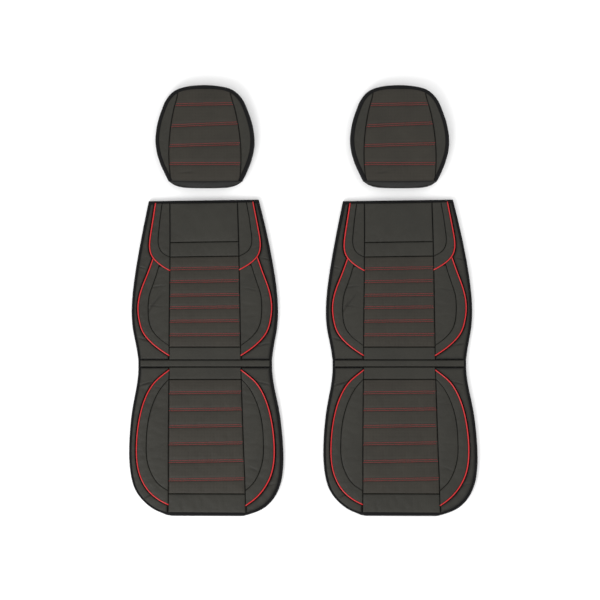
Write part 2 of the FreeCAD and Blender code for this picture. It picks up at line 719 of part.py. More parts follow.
for thing in doc.Objects:
    if "Invalid" in thing.State or "Error" in thing.State:
        raise RuntimeError(f"{thing.Label} failed: {thing.State}")
for piece in nodes:
    if piece.Shape.isNull() or not piece.Shape.isValid():
        raise RuntimeError(f"{piece.Label} has no valid shape")

os.makedirs("parts", exist_ok=True)
for piece in nodes:
    piece.Shape.exportStep(f"parts/{piece.Label}.step")
print(len(nodes), "pieces")
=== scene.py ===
"""Looks of a set of seat covers laid flat: two front-seat covers and a headrest cover above each.

Shapes are worked out in millimetres in a cover's own frame: x across from its centre line, y from
the front edge of the seat towards the top of the backrest, z up from the floor. A headrest cover's
frame starts at its mouth. Each shape is made once and put down on both halves of the set.
"""

import bpy
import numpy as np
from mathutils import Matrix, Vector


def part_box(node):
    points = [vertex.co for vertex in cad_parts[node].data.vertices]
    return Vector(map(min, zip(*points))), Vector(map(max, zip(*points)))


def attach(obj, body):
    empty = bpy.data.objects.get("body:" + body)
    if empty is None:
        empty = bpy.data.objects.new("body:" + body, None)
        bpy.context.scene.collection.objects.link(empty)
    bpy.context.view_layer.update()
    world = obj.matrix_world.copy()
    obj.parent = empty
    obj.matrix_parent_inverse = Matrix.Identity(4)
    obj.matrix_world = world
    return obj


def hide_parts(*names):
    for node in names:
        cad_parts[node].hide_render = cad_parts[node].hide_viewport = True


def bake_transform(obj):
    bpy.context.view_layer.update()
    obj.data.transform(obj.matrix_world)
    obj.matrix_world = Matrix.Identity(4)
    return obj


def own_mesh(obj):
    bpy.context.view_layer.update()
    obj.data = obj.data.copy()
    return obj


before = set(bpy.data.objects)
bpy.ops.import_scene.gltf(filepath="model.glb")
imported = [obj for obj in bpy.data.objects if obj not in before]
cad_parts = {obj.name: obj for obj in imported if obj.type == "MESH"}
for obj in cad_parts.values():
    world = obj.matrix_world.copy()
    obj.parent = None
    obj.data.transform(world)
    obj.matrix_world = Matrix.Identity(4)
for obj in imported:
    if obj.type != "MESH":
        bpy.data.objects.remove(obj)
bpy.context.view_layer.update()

SIDES = ("left", "right")
SEAT_FOLD, BACK_FOLD, TOP = 512.5, 537.2, 1085.0
GUSSET_MIDDLE = (SEAT_FOLD + BACK_FOLD) / 2
SEAT_LENGTH, BACK_LENGTH = SEAT_FOLD, TOP - BACK_FOLD
SEAT_HALF, WAIST_HALF, BACK_HALF, TOP_HALF = 265.0, 229.7, 251.5, 189.0
HEAD_HALF, HEAD_LENGTH, HEM = 170.0, 350.0, 18.5
BINDING = 7.0          # from the edge of a cover to its leather
FRONT_BINDING = 12.4   # how far the tape shows at the seat front
RIM = 12.5             # how far the black rim shows on the front of a headrest cover
HEAD_TOP = HEAD_LENGTH - RIM
SEAM_GAP = 0.3         # from a seam to the leather on each side of it
CORD_ROOM = 2.4        # from a piping seam to the leather outside it
CORD_LIP = 1.5         # from a piping seam to the leather inside it
PANEL_BASE = 11.5      # underside of the foam
HEAD_BASE = 37.8       # underside of the foam on the front of a headrest cover
BACKING_INSET = 4.0    # from the edge of a cover to its backing cloth
BACKING_BASE, BACKING_TOP = 10.0, 11.2
HEAD_BACK_INSET = 1.2  # from the edge of a headrest cover to the cloth of its back
HEAD_BACK_BASE, HEAD_BACK_TOP = 0.6, 2.4
FOLD_HEIGHT = 20.4     # the padding stays under this at the folds
NEAR_FOLD = 22         # how far on each side of a fold the points lie closer together
FINE_STEP = 1.5        # spacing of points there
EDGE_STEP = 3.0        # spacing of points along tape, piping and rim
ROW_GAP = 3.4          # from the middle of a quilting row to each of its two thread lines
BAR_HEIGHT = 5.2       # middle of the bars that the webbing goes round
NOWHERE = -1e6         # stands for a seam at heights that it does not reach

# Quilting rows: where each crosses the centre line, and how steeply it climbs to the right
SEAT_ROWS = [(y, 0.010) for y in (425.3, 367.3, 310.3, 250.6, 189.8, 127.0)]
BACK_ROWS = [(y, 0.004) for y in (623.7, 670.7, 717.7, 760.3, 807.3, 851.6)]
HEAD_ROWS = [(283.0, 0.019), (213.8, 0.045), (144.5, 0.028), (79.6, 0.0)]


# Curves and outlines

def smooth_curve(points, start=None, end=None, count=600):
    """Points along a curve through the given ones, with slope and curvature unbroken.

    Each stretch is a cubic; the slopes at the points solve the equations that make the curvature
    agree there. An end is straight unless its direction is given.
    """
    knots = np.array(points, float)
    chord = np.linalg.norm(np.diff(knots, axis=0), axis=1)
    slope = np.diff(knots, axis=0) / chord[:, None]
    size = len(knots)
    system, wanted = np.zeros((size, size)), np.zeros((size, 2))
    inner = np.arange(1, size - 1)
    system[inner, inner - 1] = chord[1:]
    system[inner, inner] = 2 * (chord[:-1] + chord[1:])
    system[inner, inner + 1] = chord[:-1]
    wanted[inner] = 3 * (chord[1:, None] * slope[:-1] + chord[:-1, None] * slope[1:])
    for row, beside, direction, first in ((0, 1, start, slope[0]), (-1, -2, end, slope[-1])):
        if direction is None:
            system[row, row], system[row, beside], wanted[row] = 2, 1, 3 * first
        else:
            system[row, row], wanted[row] = 1, direction
    rate = np.linalg.solve(system, wanted)
    reach = np.concatenate([[0], np.cumsum(chord)])
    at = np.linspace(0, reach[-1], count)
    span = np.clip(np.searchsorted(reach, at, side="right") - 1, 0, size - 2)
    h = chord[span][:, None]
    s = (at - reach[span])[:, None] / h
    return ((1 + 2 * s) * (1 - s) ** 2 * knots[span] + s * (1 - s) ** 2 * h * rate[span]
            + s * s * (3 - 2 * s) * knots[span + 1] + s * s * (s - 1) * h * rate[span + 1])


def moved(curve, distance):
    """The curve moved to its left: each point goes the distance along its normal."""
    along = np.gradient(curve, axis=0)
    along /= np.linalg.norm(along, axis=1)[:, None]
    return curve + distance * np.column_stack([-along[:, 1], along[:, 0]])


def width_at(curve, y, outside=None):
    """The curve's x at each y; outside its heights it is the end's x, or the value given."""
    order = curve if curve[-1, 1] > curve[0, 1] else curve[::-1]
    height = np.maximum.accumulate(order[:, 1]) + 1e-9 * np.arange(len(order))
    return np.interp(y, height, order[:, 0], left=outside, right=outside)


def back_edge():
    """The right-hand edge of the backrest, from the waist up."""
    lower = ((0, 0), (0.32, 0.0865), (0.80, 0.187), (1, 0.287))
    upper = ((0.877, 0.487), (0.588, 0.688), (0.224, 0.889), (0, 1))
    points = [(WAIST_HALF + share * (BACK_HALF - WAIST_HALF), along) for share, along in lower]
    points += [(TOP_HALF + share * (BACK_HALF - TOP_HALF), along) for share, along in upper]
    return smooth_curve([(x, BACK_FOLD + along * BACK_LENGTH) for x, along in points])


def seat_edge():
    """The right-hand edge of the seat, from the waist down and round the front corner."""
    flank = ((0, 1), (0.19, 0.872), (0.64, 0.712), (0.88, 0.578), (1, 0.444))
    corner = ((0.985, 0.283), (0.929, 0.176), (0.824, 0.0956), (0.691, 0.042), (0.567, 0.0154),
              (0.44, 0))
    points = [(WAIST_HALF + share * (SEAT_HALF - WAIST_HALF), along) for share, along in flank]
    points += [(share * SEAT_HALF, along) for share, along in corner]
    return smooth_curve([(x, along * SEAT_LENGTH) for x, along in points], (0, -1), (-1, 0))


def headrest_edge():
    """The right-hand edge of a headrest cover, from the hem up to the middle of its top."""
    shares = ((0.745, HEM / HEAD_LENGTH), (0.822, 0.131), (0.951, 0.289), (1.0, 0.43),
              (0.965, 0.603), (0.866, 0.76), (0.745, 0.877), (0.566, 0.954), (0.30, 0.99), (0, 1))
    points = [(across * HEAD_HALF, along * HEAD_LENGTH) for across, along in shares]
    return smooth_curve(points, end=(-1, 0))


BACK_EDGE, SEAT_EDGE, HEAD_EDGE = back_edge(), seat_edge(), headrest_edge()


def cover_half(y, inset=0.0):
    """Half the cover's width at each y, drawn in by inset."""
    seat, back = moved(SEAT_EDGE, -inset)[::-1], moved(BACK_EDGE, inset)
    return width_at(np.vstack([seat, back]), y)


def head_half(y, inset=0.0):
    """Half the headrest cover's width at each y, drawn in by inset."""
    return width_at(moved(HEAD_EDGE, inset), y)


def centre_half(y):
    """Half the width of the centre panels at each y."""
    return np.interp(y, (0, SEAT_FOLD, BACK_FOLD, TOP), (134.0, 123.8, 123.8, 116.3))


def cover_seam(shares, base, length):
    """A seam from its shares of the way across the side and along the seat or backrest."""
    across, along = np.array(shares).T
    y = base + along * length
    centre = centre_half(y)
    return smooth_curve(np.column_stack([centre + across * (cover_half(y) - centre), y]))


SEAT_PIPING = cover_seam(((-0.04, 0.985), (0.20, 0.946), (0.43, 0.90), (0.61, 0.831),
                          (0.76, 0.652), (0.79, 0.464), (0.73, 0.285), (0.49, 0.148),
                          (0.24, 0.10), (-0.04, 0.073)), 0, SEAT_LENGTH)
SEAT_SEAM = cover_seam(((-0.03, 0.925), (0.21, 0.866), (0.39, 0.784), (0.51, 0.652),
                        (0.535, 0.49), (0.50, 0.367), (0.42, 0.295), (0.28, 0.228),
                        (-0.03, 0.168)), 0, SEAT_LENGTH)
WING_PIPING = cover_seam(((0.665, 1.02), (0.70, 0.872), (0.71, 0.777), (0.69, 0.713),
                          (0.61, 0.664), (0.32, 0.602), (-0.05, 0.557)), BACK_FOLD, BACK_LENGTH)
WING_SEAM = cover_seam(((0.35, 1.02), (0.43, 0.889), (0.44, 0.796), (0.41, 0.724),
                        (0.31, 0.686), (-0.03, 0.645)), BACK_FOLD, BACK_LENGTH)
BOLSTER_PIPING = cover_seam(((0.53, 0.65), (0.67, 0.531), (0.76, 0.458), (0.83, 0.318),
                             (0.80, 0.248), (0.73, 0.177), (0.59, 0.126), (0.37, 0.08),
                             (-0.05, 0.022)), BACK_FOLD, BACK_LENGTH)
BOLSTER_SEAM = cover_seam(((0.32, 0.613), (0.48, 0.474), (0.55, 0.412), (0.57, 0.318),
                           (0.49, 0.197), (0.32, 0.143), (-0.04, 0.085)), BACK_FOLD, BACK_LENGTH)
HEAD_SEAM = smooth_curve([(across * HEAD_HALF, along * HEAD_LENGTH) for across, along in (
    (0.532, 1.02), (0.532, 0.911), (0.585, 0.81), (0.674, 0.611), (0.716, 0.434),
    (0.724, 0.269), (0.699, 0.082), (0.68, 0.0))])


def bell(distance, width):
    """A Gaussian: 1 at no distance, falling to 0.37 at the width."""
    return np.exp(-(distance / width) ** 2)


def lay(x, y):
    """How a cover lies: it drifts sideways up its length, and its top edge is a little askew.

    Between the centre and the edge the padding has slid a few millimetres more: to the left on the
    seat, inwards at the left of the backrest's top. The front edge dips to the right.
    """
    drift = np.interp(y, (0, 128, 210, 293, 416, 540, 664, 828, 952, 1034, 1085),
                      (1.8, 0.4, -1.5, -2.8, -4.2, -5.4, -6.3, -6.6, -7.6, -9.0, -10.2))
    away = np.clip(np.where(y > BACK_FOLD, y - BACK_FOLD - 40, SEAT_FOLD - 40 - y) / 300, 0, 1)
    centre, edge = centre_half(y), np.maximum(cover_half(y), centre_half(y) + 1)
    between = np.sin(np.pi * np.clip((np.abs(x) - centre) / (edge - centre), 0, 1))
    slid = np.where(y < SEAT_FOLD, -4.6, np.where(x < 0, 3.6, 1.2)) * away * between
    askew = np.where(y > BACK_FOLD, 0.014, 0.006) * away - 0.018 * bell(y - 40, 45)
    return x + drift + slid, y + askew * x


def as_made(x, y):
    """No drift, for what lies where the hardware holds it."""
    return x, y


def lay_head(x, y):
    """How a headrest cover lies: leaning to the left, its lower edge sagging in the middle."""
    sag = 3.4 * np.clip(1 - (x / 100) ** 2, -0.5, 1) * bell(y, 26)
    return x - 3.0 - 4.5 * np.clip(y, 0, HEAD_LENGTH) / HEAD_LENGTH, y - sag + 0.6


# Relief

def sway(x, y, size, seed):
    """Gentle unevenness, mostly from -1 to 1: the sum of seven sine waves of about one size in
    seven directions, over 4.2."""
    wave = np.random.default_rng(seed).random((7, 3))
    total = np.zeros_like(x)
    for turn, length, start in wave:
        angle, pitch = np.pi * turn, size * (0.7 + 0.8 * length)
        total += np.sin(2 * np.pi * ((x * np.cos(angle) + y * np.sin(angle)) / pitch + start))
    return total / 4.2


def bump_line(x, y, a, b, width):
    """A crease from a to b: a Gaussian dip of 1 across the line, with a soft lip a third as high
    on each side, fading out at both ends."""
    a, b = np.array(a, float), np.array(b, float)
    way = b - a
    share = np.clip(((x - a[0]) * way[0] + (y - a[1]) * way[1]) / (way @ way), 0, 1)
    off = np.hypot(x - a[0] - share * way[0], y - a[1] - share * way[1])
    ends = np.sin(np.pi * np.clip(share, 0.04, 0.96)) ** 0.5
    return ends * (0.35 * bell(off - 2.2 * width, width) - bell(off, width))


def rolled(off, radius):
    """How far a rounded edge has dropped at each distance from it: a quarter circle."""
    near = 1 - np.clip(off / radius, 0, 1)
    return radius * (1 - np.sqrt(1 - near ** 2))


def spacing(length, step):
    """Shares from 0 to 1 about a step apart, closer together near both ends."""
    edge, inner = np.array([0.0, 0.7, 1.6, 2.9]), 4.6
    middle = np.linspace(inner, length - inner, max(3, int(round(length / step))))
    return np.concatenate([edge, middle, length - edge[::-1]]) / length


def border_distance(x, y):
    """The distance of each grid point from the grid's own border, to the nearest of many points
    along it; worked out for a few thousand grid points at a time."""
    border_step, lot = 1.2, 3000
    ring = np.concatenate([np.column_stack([g[0] for g in (x, y)])[:-1],
                           np.column_stack([x[:, -1], y[:, -1]])[:-1],
                           np.column_stack([x[-1], y[-1]])[:0:-1],
                           np.column_stack([x[:, 0], y[:, 0]])[:0:-1]])
    far = np.linalg.norm(np.roll(ring, -1, axis=0) - ring, axis=1)
    reach = np.concatenate([[0], np.cumsum(far)])
    closed = np.vstack([ring, ring[:1]])
    at = np.linspace(0, reach[-1], int(reach[-1] / border_step))
    dense = np.column_stack([np.interp(at, reach, closed[:, k]) for k in (0, 1)])
    points = np.column_stack([x.ravel(), y.ravel()])
    found = np.empty(len(points))
    for first in range(0, len(points), lot):
        some = points[first:first + lot, None] - dense[None]
        found[first:first + lot] = np.sqrt((some ** 2).sum(2).min(1))
    off = found.reshape(x.shape)
    off[0], off[-1], off[:, 0], off[:, -1] = 0, 0, 0, 0
    return off


def panel(low, high, y_low, y_high, step=2.4):
    """A grid over the area between two edges x = low(y) and x = high(y), with border distances.

    It ends where the edges come closer together than the least width.
    """
    least_width = 0.8
    y = np.linspace(y_low, y_high, 900)
    room = high(y) - low(y)
    wide = y[room > least_width]
    y_low, y_high = wide[0], wide[-1]
    v = spacing(y_high - y_low, step)
    u = spacing(room.max(), step)
    y = (y_low + v * (y_high - y_low))[:, None] + 0 * u[None]
    left, right = low(y[:, :1]), high(y[:, :1])
    x = left + u[None] * (right - left)
    return {"x": x, "y": y, "off": border_distance(x, y), "u": u, "v": v,
            "low": low, "high": high, "ends": (y_low, y_high), "rows": ()}


def flipped(p):
    """The same panel on the other side of the centre line."""
    out = dict(p)
    out["x"] = -p["x"][:, ::-1]
    out["y"], out["off"], out["u"] = p["y"][:, ::-1], p["off"][:, ::-1], 1 - p["u"][::-1]
    return out


def soft_box(grid):
    """Each grid point's mean with its neighbours, in both directions."""
    padded = np.pad(grid, 1, mode="edge")
    rows = (padded[:-2] + 2 * padded[1:-1] + padded[2:]) / 4
    return (rows[:, :-2] + 2 * rows[:, 1:-1] + rows[:, 2:]) / 4


def inflate(panels, frames=20):
    """Swells every panel as cloth held down along its seams and stitch rows.

    A coarse copy of each panel's grid is one sheet of cloth, cut 1.2% larger than its outline and
    pinned at its border and rows, with air pressure under it and no gravity. How far it rises is
    spread back over the fine grid in proportion between the coarse points. Panels after the first
    lot are set further on, so that headrest covers don't lie over the seats.
    """
    coarse_step, row_held, lot, further_on = 6.5, 4.2, 18, 1500
    points, faces, pins, parts, count = [], [], [], [], 0
    for number, p in enumerate(panels):
        size = (p["v"] * np.ptp(p["y"]), p["u"] * (p["x"].max(1) - p["x"].min(1)).max())
        pick = [np.unique([np.abs(line - at).argmin() for at in
                           np.linspace(0, line[-1], max(4, int(line[-1] / coarse_step)))])
                for line in size]
        x, y = (p[k][np.ix_(*pick)] for k in "xy")
        held = np.zeros(x.shape, bool)
        held[0], held[-1], held[:, 0], held[:, -1] = True, True, True, True
        for middle, tilt in p["rows"]:
            held |= np.abs(y - middle - tilt * x) < row_held
        z = np.where(held, 0, 0.5 + 0.25 * sway(x, y, 34, 400 + number))
        y = y + further_on * (number // lot)
        points.append(np.stack([x, y, z], axis=-1).reshape(-1, 3) / 1000)
        faces.append(grid_faces(*x.shape, count))
        pins.append(held.ravel())
        parts.append((pick, x.shape, count))
        count += x.size
    mesh = bpy.data.meshes.new("swelling")
    mesh.from_pydata(np.vstack(points).tolist(), [], np.vstack(faces).tolist())
    cloth = bpy.data.objects.new("swelling", mesh)
    bpy.context.scene.collection.objects.link(cloth)
    group = cloth.vertex_groups.new(name="held")
    group.add(np.flatnonzero(np.concatenate(pins)).tolist(), 1.0, "REPLACE")
    modifier = cloth.modifiers.new("swelling", "CLOTH")
    look = modifier.settings
    look.quality, look.mass, look.air_damping = 6, 0.3, 4.0
    look.tension_stiffness = look.compression_stiffness = 18
    look.shear_stiffness, look.bending_stiffness = 8, 0.4
    look.use_pressure, look.uniform_pressure_force = True, 4.0
    look.shrink_min, look.vertex_group_mass = -0.012, "held"
    look.effector_weights.gravity = 0
    modifier.collision_settings.use_collision = False
    modifier.point_cache.frame_start, modifier.point_cache.frame_end = 1, frames
    for step in range(1, frames + 1):
        bpy.context.scene.frame_set(step)
    seen = cloth.evaluated_get(bpy.context.evaluated_depsgraph_get()).to_mesh()
    place = np.empty(3 * count, np.float32)
    seen.vertices.foreach_get("co", place)
    bpy.context.scene.frame_set(1)
    rise = place.reshape(-1, 3)[:, 2] * 1000
    bpy.data.objects.remove(cloth)
    bpy.data.meshes.remove(mesh)
    for p, ((rows, columns), shape, first) in zip(panels, parts):
        coarse = rise[first:first + shape[0] * shape[1]].reshape(shape)
        wide = np.stack([np.interp(p["u"], p["u"][columns], line) for line in coarse])
        fine = np.stack([np.interp(p["v"], p["v"][rows], line) for line in wide.T], axis=1)
        p["rise"] = soft_box(soft_box(fine))


def padding(p, level, crown, fade, radius, uneven=0.4, rows=(), creases=(), seam=1.3,
            cross=None, swell=0.6, seed=0):
    """Fills in a panel's height and the painted shade along its seams, stitch rows and creases.

    The level, plus the crown, less the rounded edge, plus broad unevenness, puckers that die out
    away from the seams, quilting valleys and creases. The crown follows the swollen cloth, held
    under a limit, or grows smoothly away from the border where the cloth has not been worked out;
    swell is the cloth's share of it. The "dark" numbers are painted shade: how much the colour is
    darkened along the seams, beside the stitch rows and in the creases, where shade falls. seam is
    the width of that painted shade along the sides, and cross its width at the two ends. Near the
    folds everything stays under the folds' own height.
    """
    broad, middling, pucker_size, row_pucker_size = 120, 38, 15, 13
    pucker, valley_depth, line_depth = 0.2, 2.3, 1.1
    x, y, off = p["x"], p["y"], p["off"]
    smooth = crown * (1 - np.exp(-off / fade))
    if "rise" in p:
        limit = 1.5 * crown
        smooth = (1 - swell) * smooth + swell * limit * np.tanh(p["rise"] / limit)
    z = level + smooth - rolled(off, radius)
    # painted shade: the colour darkens towards the panel's border, as if shade lay in the seams;
    # with cross, the sides and the two ends each have their own width
    p["dark"] = bell(off, seam)
    if cross is not None:
        near = np.minimum(y - y.min(), y.max() - y)
        side = np.minimum(x - x[:, :1], x[:, -1:] - x)
        p["dark"] = np.maximum(bell(side, seam), bell(near, cross))
    z = z + uneven * sway(x, y, broad, seed) * (1 - np.exp(-off / 14))
    z = z + 0.4 * uneven * sway(x, y, middling, seed + 1) * (1 - np.exp(-off / 9))
    z = z + pucker * sway(x, y, pucker_size, seed + 2) * bell(off - 6, 7)
    for middle, tilt in rows:
        from_row = y - middle - tilt * x
        lines = sum(bell(from_row - side * ROW_GAP, 1.5) for side in (-1, 1))
        valley = valley_depth * bell(from_row, 8.5) + line_depth * lines
        z = z - valley * np.clip(off / 6, 0, 1)
        z = z + 0.12 * sway(x, y, row_pucker_size, seed + 3) * bell(np.abs(from_row) - 9, 5)
        # painted shade in the valley just outside each row's two thread lines
        p["dark"] = np.maximum(p["dark"], 0.55 * bell(np.abs(from_row) - 5.4, 1.3))
    for a, b, depth, width in creases:
        dent = bump_line(x, y, a, b, width)
        z = z + depth * dent
        # painted shade in the crease's dip, darker for deeper creases
        p["dark"] = np.maximum(p["dark"], 0.34 * depth * np.clip(-dent, 0, 1) ** 3)
    if p.get("folds", True):
        room = np.minimum(np.abs(y - SEAT_FOLD), np.abs(y - BACK_FOLD))
        share = np.clip((room - 6) / 55, 0, 1)
        z = np.where(z > FOLD_HEIGHT, FOLD_HEIGHT + (z - FOLD_HEIGHT) * share, z)
    p["z"] = z


def height_on(p, x, y):
    """The panel's height at points inside it, from its grid."""
    low, high = p["low"](y), p["high"](y)
    column = np.interp((x - low) / (high - low), p["u"], np.arange(len(p["u"])))
    row = np.interp((y - p["ends"][0]) / (p["ends"][1] - p["ends"][0]), p["v"],
                    np.arange(len(p["v"])))
    i = np.clip(row.astype(int), 0, len(p["v"]) - 2)
    j = np.clip(column.astype(int), 0, len(p["u"]) - 2)
    a, b, z = row - i, column - j, p["z"]
    return ((1 - a) * ((1 - b) * z[i, j] + b * z[i, j + 1])
            + a * ((1 - b) * z[i + 1, j] + b * z[i + 1, j + 1]))


# Meshes

CENTRE = {side: sum(corner.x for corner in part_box(f"{side}_seat_binding")) * 500
          for side in SIDES}
FRONT = min(corner.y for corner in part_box("left_seat_binding")) * 1000
MOUTH = min(corner.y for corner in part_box("left_headrest_elastic_hem")) * 1000


def in_row(points, side, base, laid):
    """Points from a cover's own frame in millimetres to the set's frame in metres."""
    x, y = laid(points[:, 0], points[:, 1])
    return np.column_stack([x + CENTRE[side], y + base, points[:, 2]]) / 1000


def mesh_object(name, points, faces, material, values=None, uv=None):
    """An object at the origin with this mesh, all of it smooth-shaded.

    values are numbers per point, stored by name; uv is (along, across) in metres per point.
    """
    mesh = bpy.data.meshes.new(name)
    mesh.from_pydata(points.tolist(), [], faces)
    mesh.polygons.foreach_set("use_smooth", np.ones(len(mesh.polygons), bool))
    for key, numbers in (values or {}).items():
        mesh.attributes.new(key, "FLOAT", "POINT").data.foreach_set(
            "value", np.asarray(numbers, np.float32))
    if uv is not None:
        corner = np.empty(len(mesh.loops), np.int32)
        mesh.loops.foreach_get("vertex_index", corner)
        mesh.uv_layers.new(name="cloth").data.foreach_set(
            "uv", np.asarray(uv, np.float32)[corner].ravel())
    mesh.update()
    mesh.materials.append(material)
    thing = bpy.data.objects.new(name, mesh)
    bpy.context.scene.collection.objects.link(thing)
    return thing


def grid_faces(rows, columns, first=0):
    """Quads of a grid of points numbered along its rows, facing up where x and y both grow."""
    corner = first + np.arange(rows * columns).reshape(rows, columns)
    return np.stack([corner[:-1, :-1], corner[:-1, 1:], corner[1:, 1:], corner[1:, :-1]],
                    axis=-1).reshape(-1, 4)


def pad_parts(p, base, first):
    """A panel as a closed solid: its relief on top, upright sides, and a flat underside."""
    n, m = p["x"].shape
    top = np.column_stack([p["x"].ravel(), p["y"].ravel(), p["z"].ravel()])
    number = np.arange(n * m).reshape(n, m)
    ring = np.concatenate([number[0], number[1:, -1], number[-1, -2::-1], number[-2:0:-1, 0]])
    under = top[ring].copy()
    under[:, 2] = base
    low = n * m + np.arange(len(ring))
    around = np.stack([low, np.roll(low, -1), np.roll(ring, -1), ring], axis=-1)
    right = low[m - 1:m - 1 + n]
    left = low[-np.arange(n)]
    strips = np.stack([left[1:-2], left[2:-1], right[2:-1], right[1:-2]], axis=-1)
    front = [left[0], left[1], right[1], *low[m - 1:0:-1]]
    rear = [left[-2], left[-1], *low[m + n - 2 + m - 2:m + n - 2:-1], right[-1], right[-2]]
    quads = np.concatenate([grid_faces(n, m), around, strips]) + first
    faces = quads.tolist() + [[int(k) + first for k in front], [int(k) + first for k in rear]]
    dark = p.get("dark", np.zeros((n, m)))
    # painted shade: the upright sides and the underside are fully darkened, as they lie in the
    # shade of the gaps between panels
    seam = np.concatenate([dark.ravel(), np.ones(len(ring))])
    return np.vstack([top, under]), faces, seam


def pads(name, side, panels, material, base=PANEL_BASE, start=FRONT, laid=lay, mapped=False):
    """One object of several padded panels, mapped by where each point lies flat if asked."""
    points, faces, seams, count = [], [], [], 0
    for p in panels:
        some, quads, seam = pad_parts(p, base, count)
        points.append(some)
        faces += quads
        seams.append(seam)
        count += len(some)
    place = in_row(np.vstack(points), side, start, laid)
    # the "seam" numbers carry the painted shade of seams, stitch rows and creases to the leather's
    # colour
    return mesh_object(f"{side}_{name}", place, faces, material, {"seam": np.concatenate(seams)},
                       place[:, :2] if mapped else None)


def carried(path, sides, ups, profile):
    """A profile carried along a path and closed at both ends.

    Each ring is the path's point plus the profile's first number times the side direction plus its
    second times the up direction. The map runs along the path and round the profile.
    """
    profile = np.broadcast_to(profile, (len(path), *np.shape(profile)[-2:]))
    rings = (path[:, None] + profile[..., :1] * sides[:, None] + profile[..., 1:] * ups[:, None])
    n, m = rings.shape[:2]
    number = np.arange(n * m).reshape(n, m)
    here, ahead = number[:-1], number[1:]
    quads = np.stack([here, np.roll(here, -1, axis=1), np.roll(ahead, -1, axis=1), ahead],
                     axis=-1).reshape(-1, 4)
    faces = quads.tolist() + [number[0, ::-1].tolist(), number[-1].tolist()]
    step = np.linalg.norm(np.diff(path, axis=0), axis=1)
    along = np.concatenate([[0], np.cumsum(step)])[:, None] + np.zeros((1, m))
    round_it = np.linalg.norm(np.diff(rings, axis=1), axis=2)
    across = np.concatenate([np.zeros((n, 1)), np.cumsum(round_it, axis=1)], axis=1)
    uv = np.stack([along, across], axis=-1).reshape(-1, 2) / 1000
    return rings.reshape(-1, 3), faces, uv


def flat_frame(path):
    """Side directions of a path seen from above, mitred at its corners, and upward ones."""
    way = np.diff(path[:, :2], axis=0)
    way /= np.linalg.norm(way, axis=1)[:, None]
    left = np.column_stack([-way[:, 1], way[:, 0]])
    before, after = np.vstack([left[:1], left]), np.vstack([left, left[-1:]])
    side = (before + after) / (1 + (before * after).sum(1))[:, None]
    return (np.column_stack([side, np.zeros(len(side))]),
            np.tile([0.0, 0.0, 1.0], (len(path), 1)))


def evenly(path, step):
    """The path again with points about a step apart."""
    far = np.linalg.norm(np.diff(path, axis=0), axis=1)
    reach = np.concatenate([[0], np.cumsum(far)])
    at = np.linspace(0, reach[-1], max(2, int(reach[-1] / step)))
    return np.column_stack([np.interp(at, reach, path[:, k]) for k in range(path.shape[1])])


def joined(parts):
    """Several meshes given as (points, faces, uv) made into one."""
    points, faces, uvs, count = [], [], [], 0
    for some, quads, uv in parts:
        points.append(some)
        faces += [[k + count for k in face] for face in quads]
        uvs.append(uv)
        count += len(some)
    return np.vstack(points), faces, np.vstack(uvs)


def swept(name, side, parts, material, start, laid):
    """One object of several carried profiles."""
    points, faces, uv = joined(parts)
    return mesh_object(f"{side}_{name}", in_row(points, side, start, laid), faces, material, uv=uv)


def circle(radius, count):
    """Points round a circle, anticlockwise."""
    angle = np.linspace(0, 2 * np.pi, count, endpoint=False)
    return radius * np.column_stack([np.cos(angle), np.sin(angle)])


def cord_of(curve, y_low, y_high, sign):
    """Piping along a seam: a round cord whose ends dive under the leather of the next panel."""
    height, dive, radius = 21.4, 3.6, 1.95
    order = curve if curve[-1, 1] > curve[0, 1] else curve[::-1]
    some = order[(order[:, 1] >= y_low) & (order[:, 1] <= y_high)
                 & (order[:, 0] > centre_half(order[:, 1]) - 1.5)]
    path = evenly(some, EDGE_STEP) * (sign, 1)
    away = np.minimum(np.arange(len(path)), np.arange(len(path))[::-1]) * EDGE_STEP
    z = height - dive * bell(away, 5) + 0.25 * sway(path[:, 0], path[:, 1], 90, 5)
    path = np.column_stack([path, z])
    return carried(path, *flat_frame(path), circle(radius, 12))


def stitch_rows(p, rows, half, margin):
    """The middles of the stitches of each row, in two lines that waver a little.

    Every second line is shifted by half a stitch.
    """
    pitch, proud = 6.0, 0.45
    middles = []
    for middle, tilt in rows:
        for line, side in enumerate((-1, 1)):
            reach = half(middle) - margin
            x = np.arange(-reach + pitch / 2 * line, reach, pitch)
            y = middle + tilt * x + side * ROW_GAP + 0.25 * np.sin(x / 9 + middle)
            middles.append(np.column_stack([x, y, height_on(p, x, y) + proud]))
    return np.vstack(middles)


def stitches(name, side, middles, start, laid):
    """Short rounded lengths of thread: five-sided, arched, pointed into the leather at each end."""
    length, radius = 5.0, 0.62
    share = np.array([-1.0, -0.72, 0.0, 0.72, 1.0])
    girth = radius * np.array([0.25, 0.95, 1.0, 0.95, 0.25])
    lift = -0.75 * share ** 4
    ring = circle(1.0, 5)
    shape = np.stack([np.repeat(share * length / 2, 5), np.outer(girth, ring[:, 0]).ravel(),
                      (np.outer(girth, ring[:, 1]) + lift[:, None]).ravel()], axis=-1)
    here = np.arange(25).reshape(5, 5)
    quads = np.stack([here[:-1], np.roll(here[:-1], -1, 1), np.roll(here[1:], -1, 1), here[1:]],
                     axis=-1).reshape(-1, 4)
    points = (middles[:, None] + shape[None]).reshape(-1, 3)
    first = 25 * np.arange(len(middles))
    faces = (quads[None] + first[:, None, None]).reshape(-1, 4).tolist()
    faces += (np.arange(5)[::-1][None] + first[:, None]).tolist()
    faces += (np.arange(20, 25)[None] + first[:, None]).tolist()
    return mesh_object(f"{side}_{name}", in_row(points, side, start, laid), faces, RED_THREAD)


# Materials

def linear(text):
    """A colour given as sRGB hex, as linear light."""
    value = np.array([int(text[k:k + 2], 16) for k in (1, 3, 5)]) / 255
    return tuple(np.where(value <= 0.04045, value / 12.92, ((value + 0.055) / 1.055) ** 2.4))


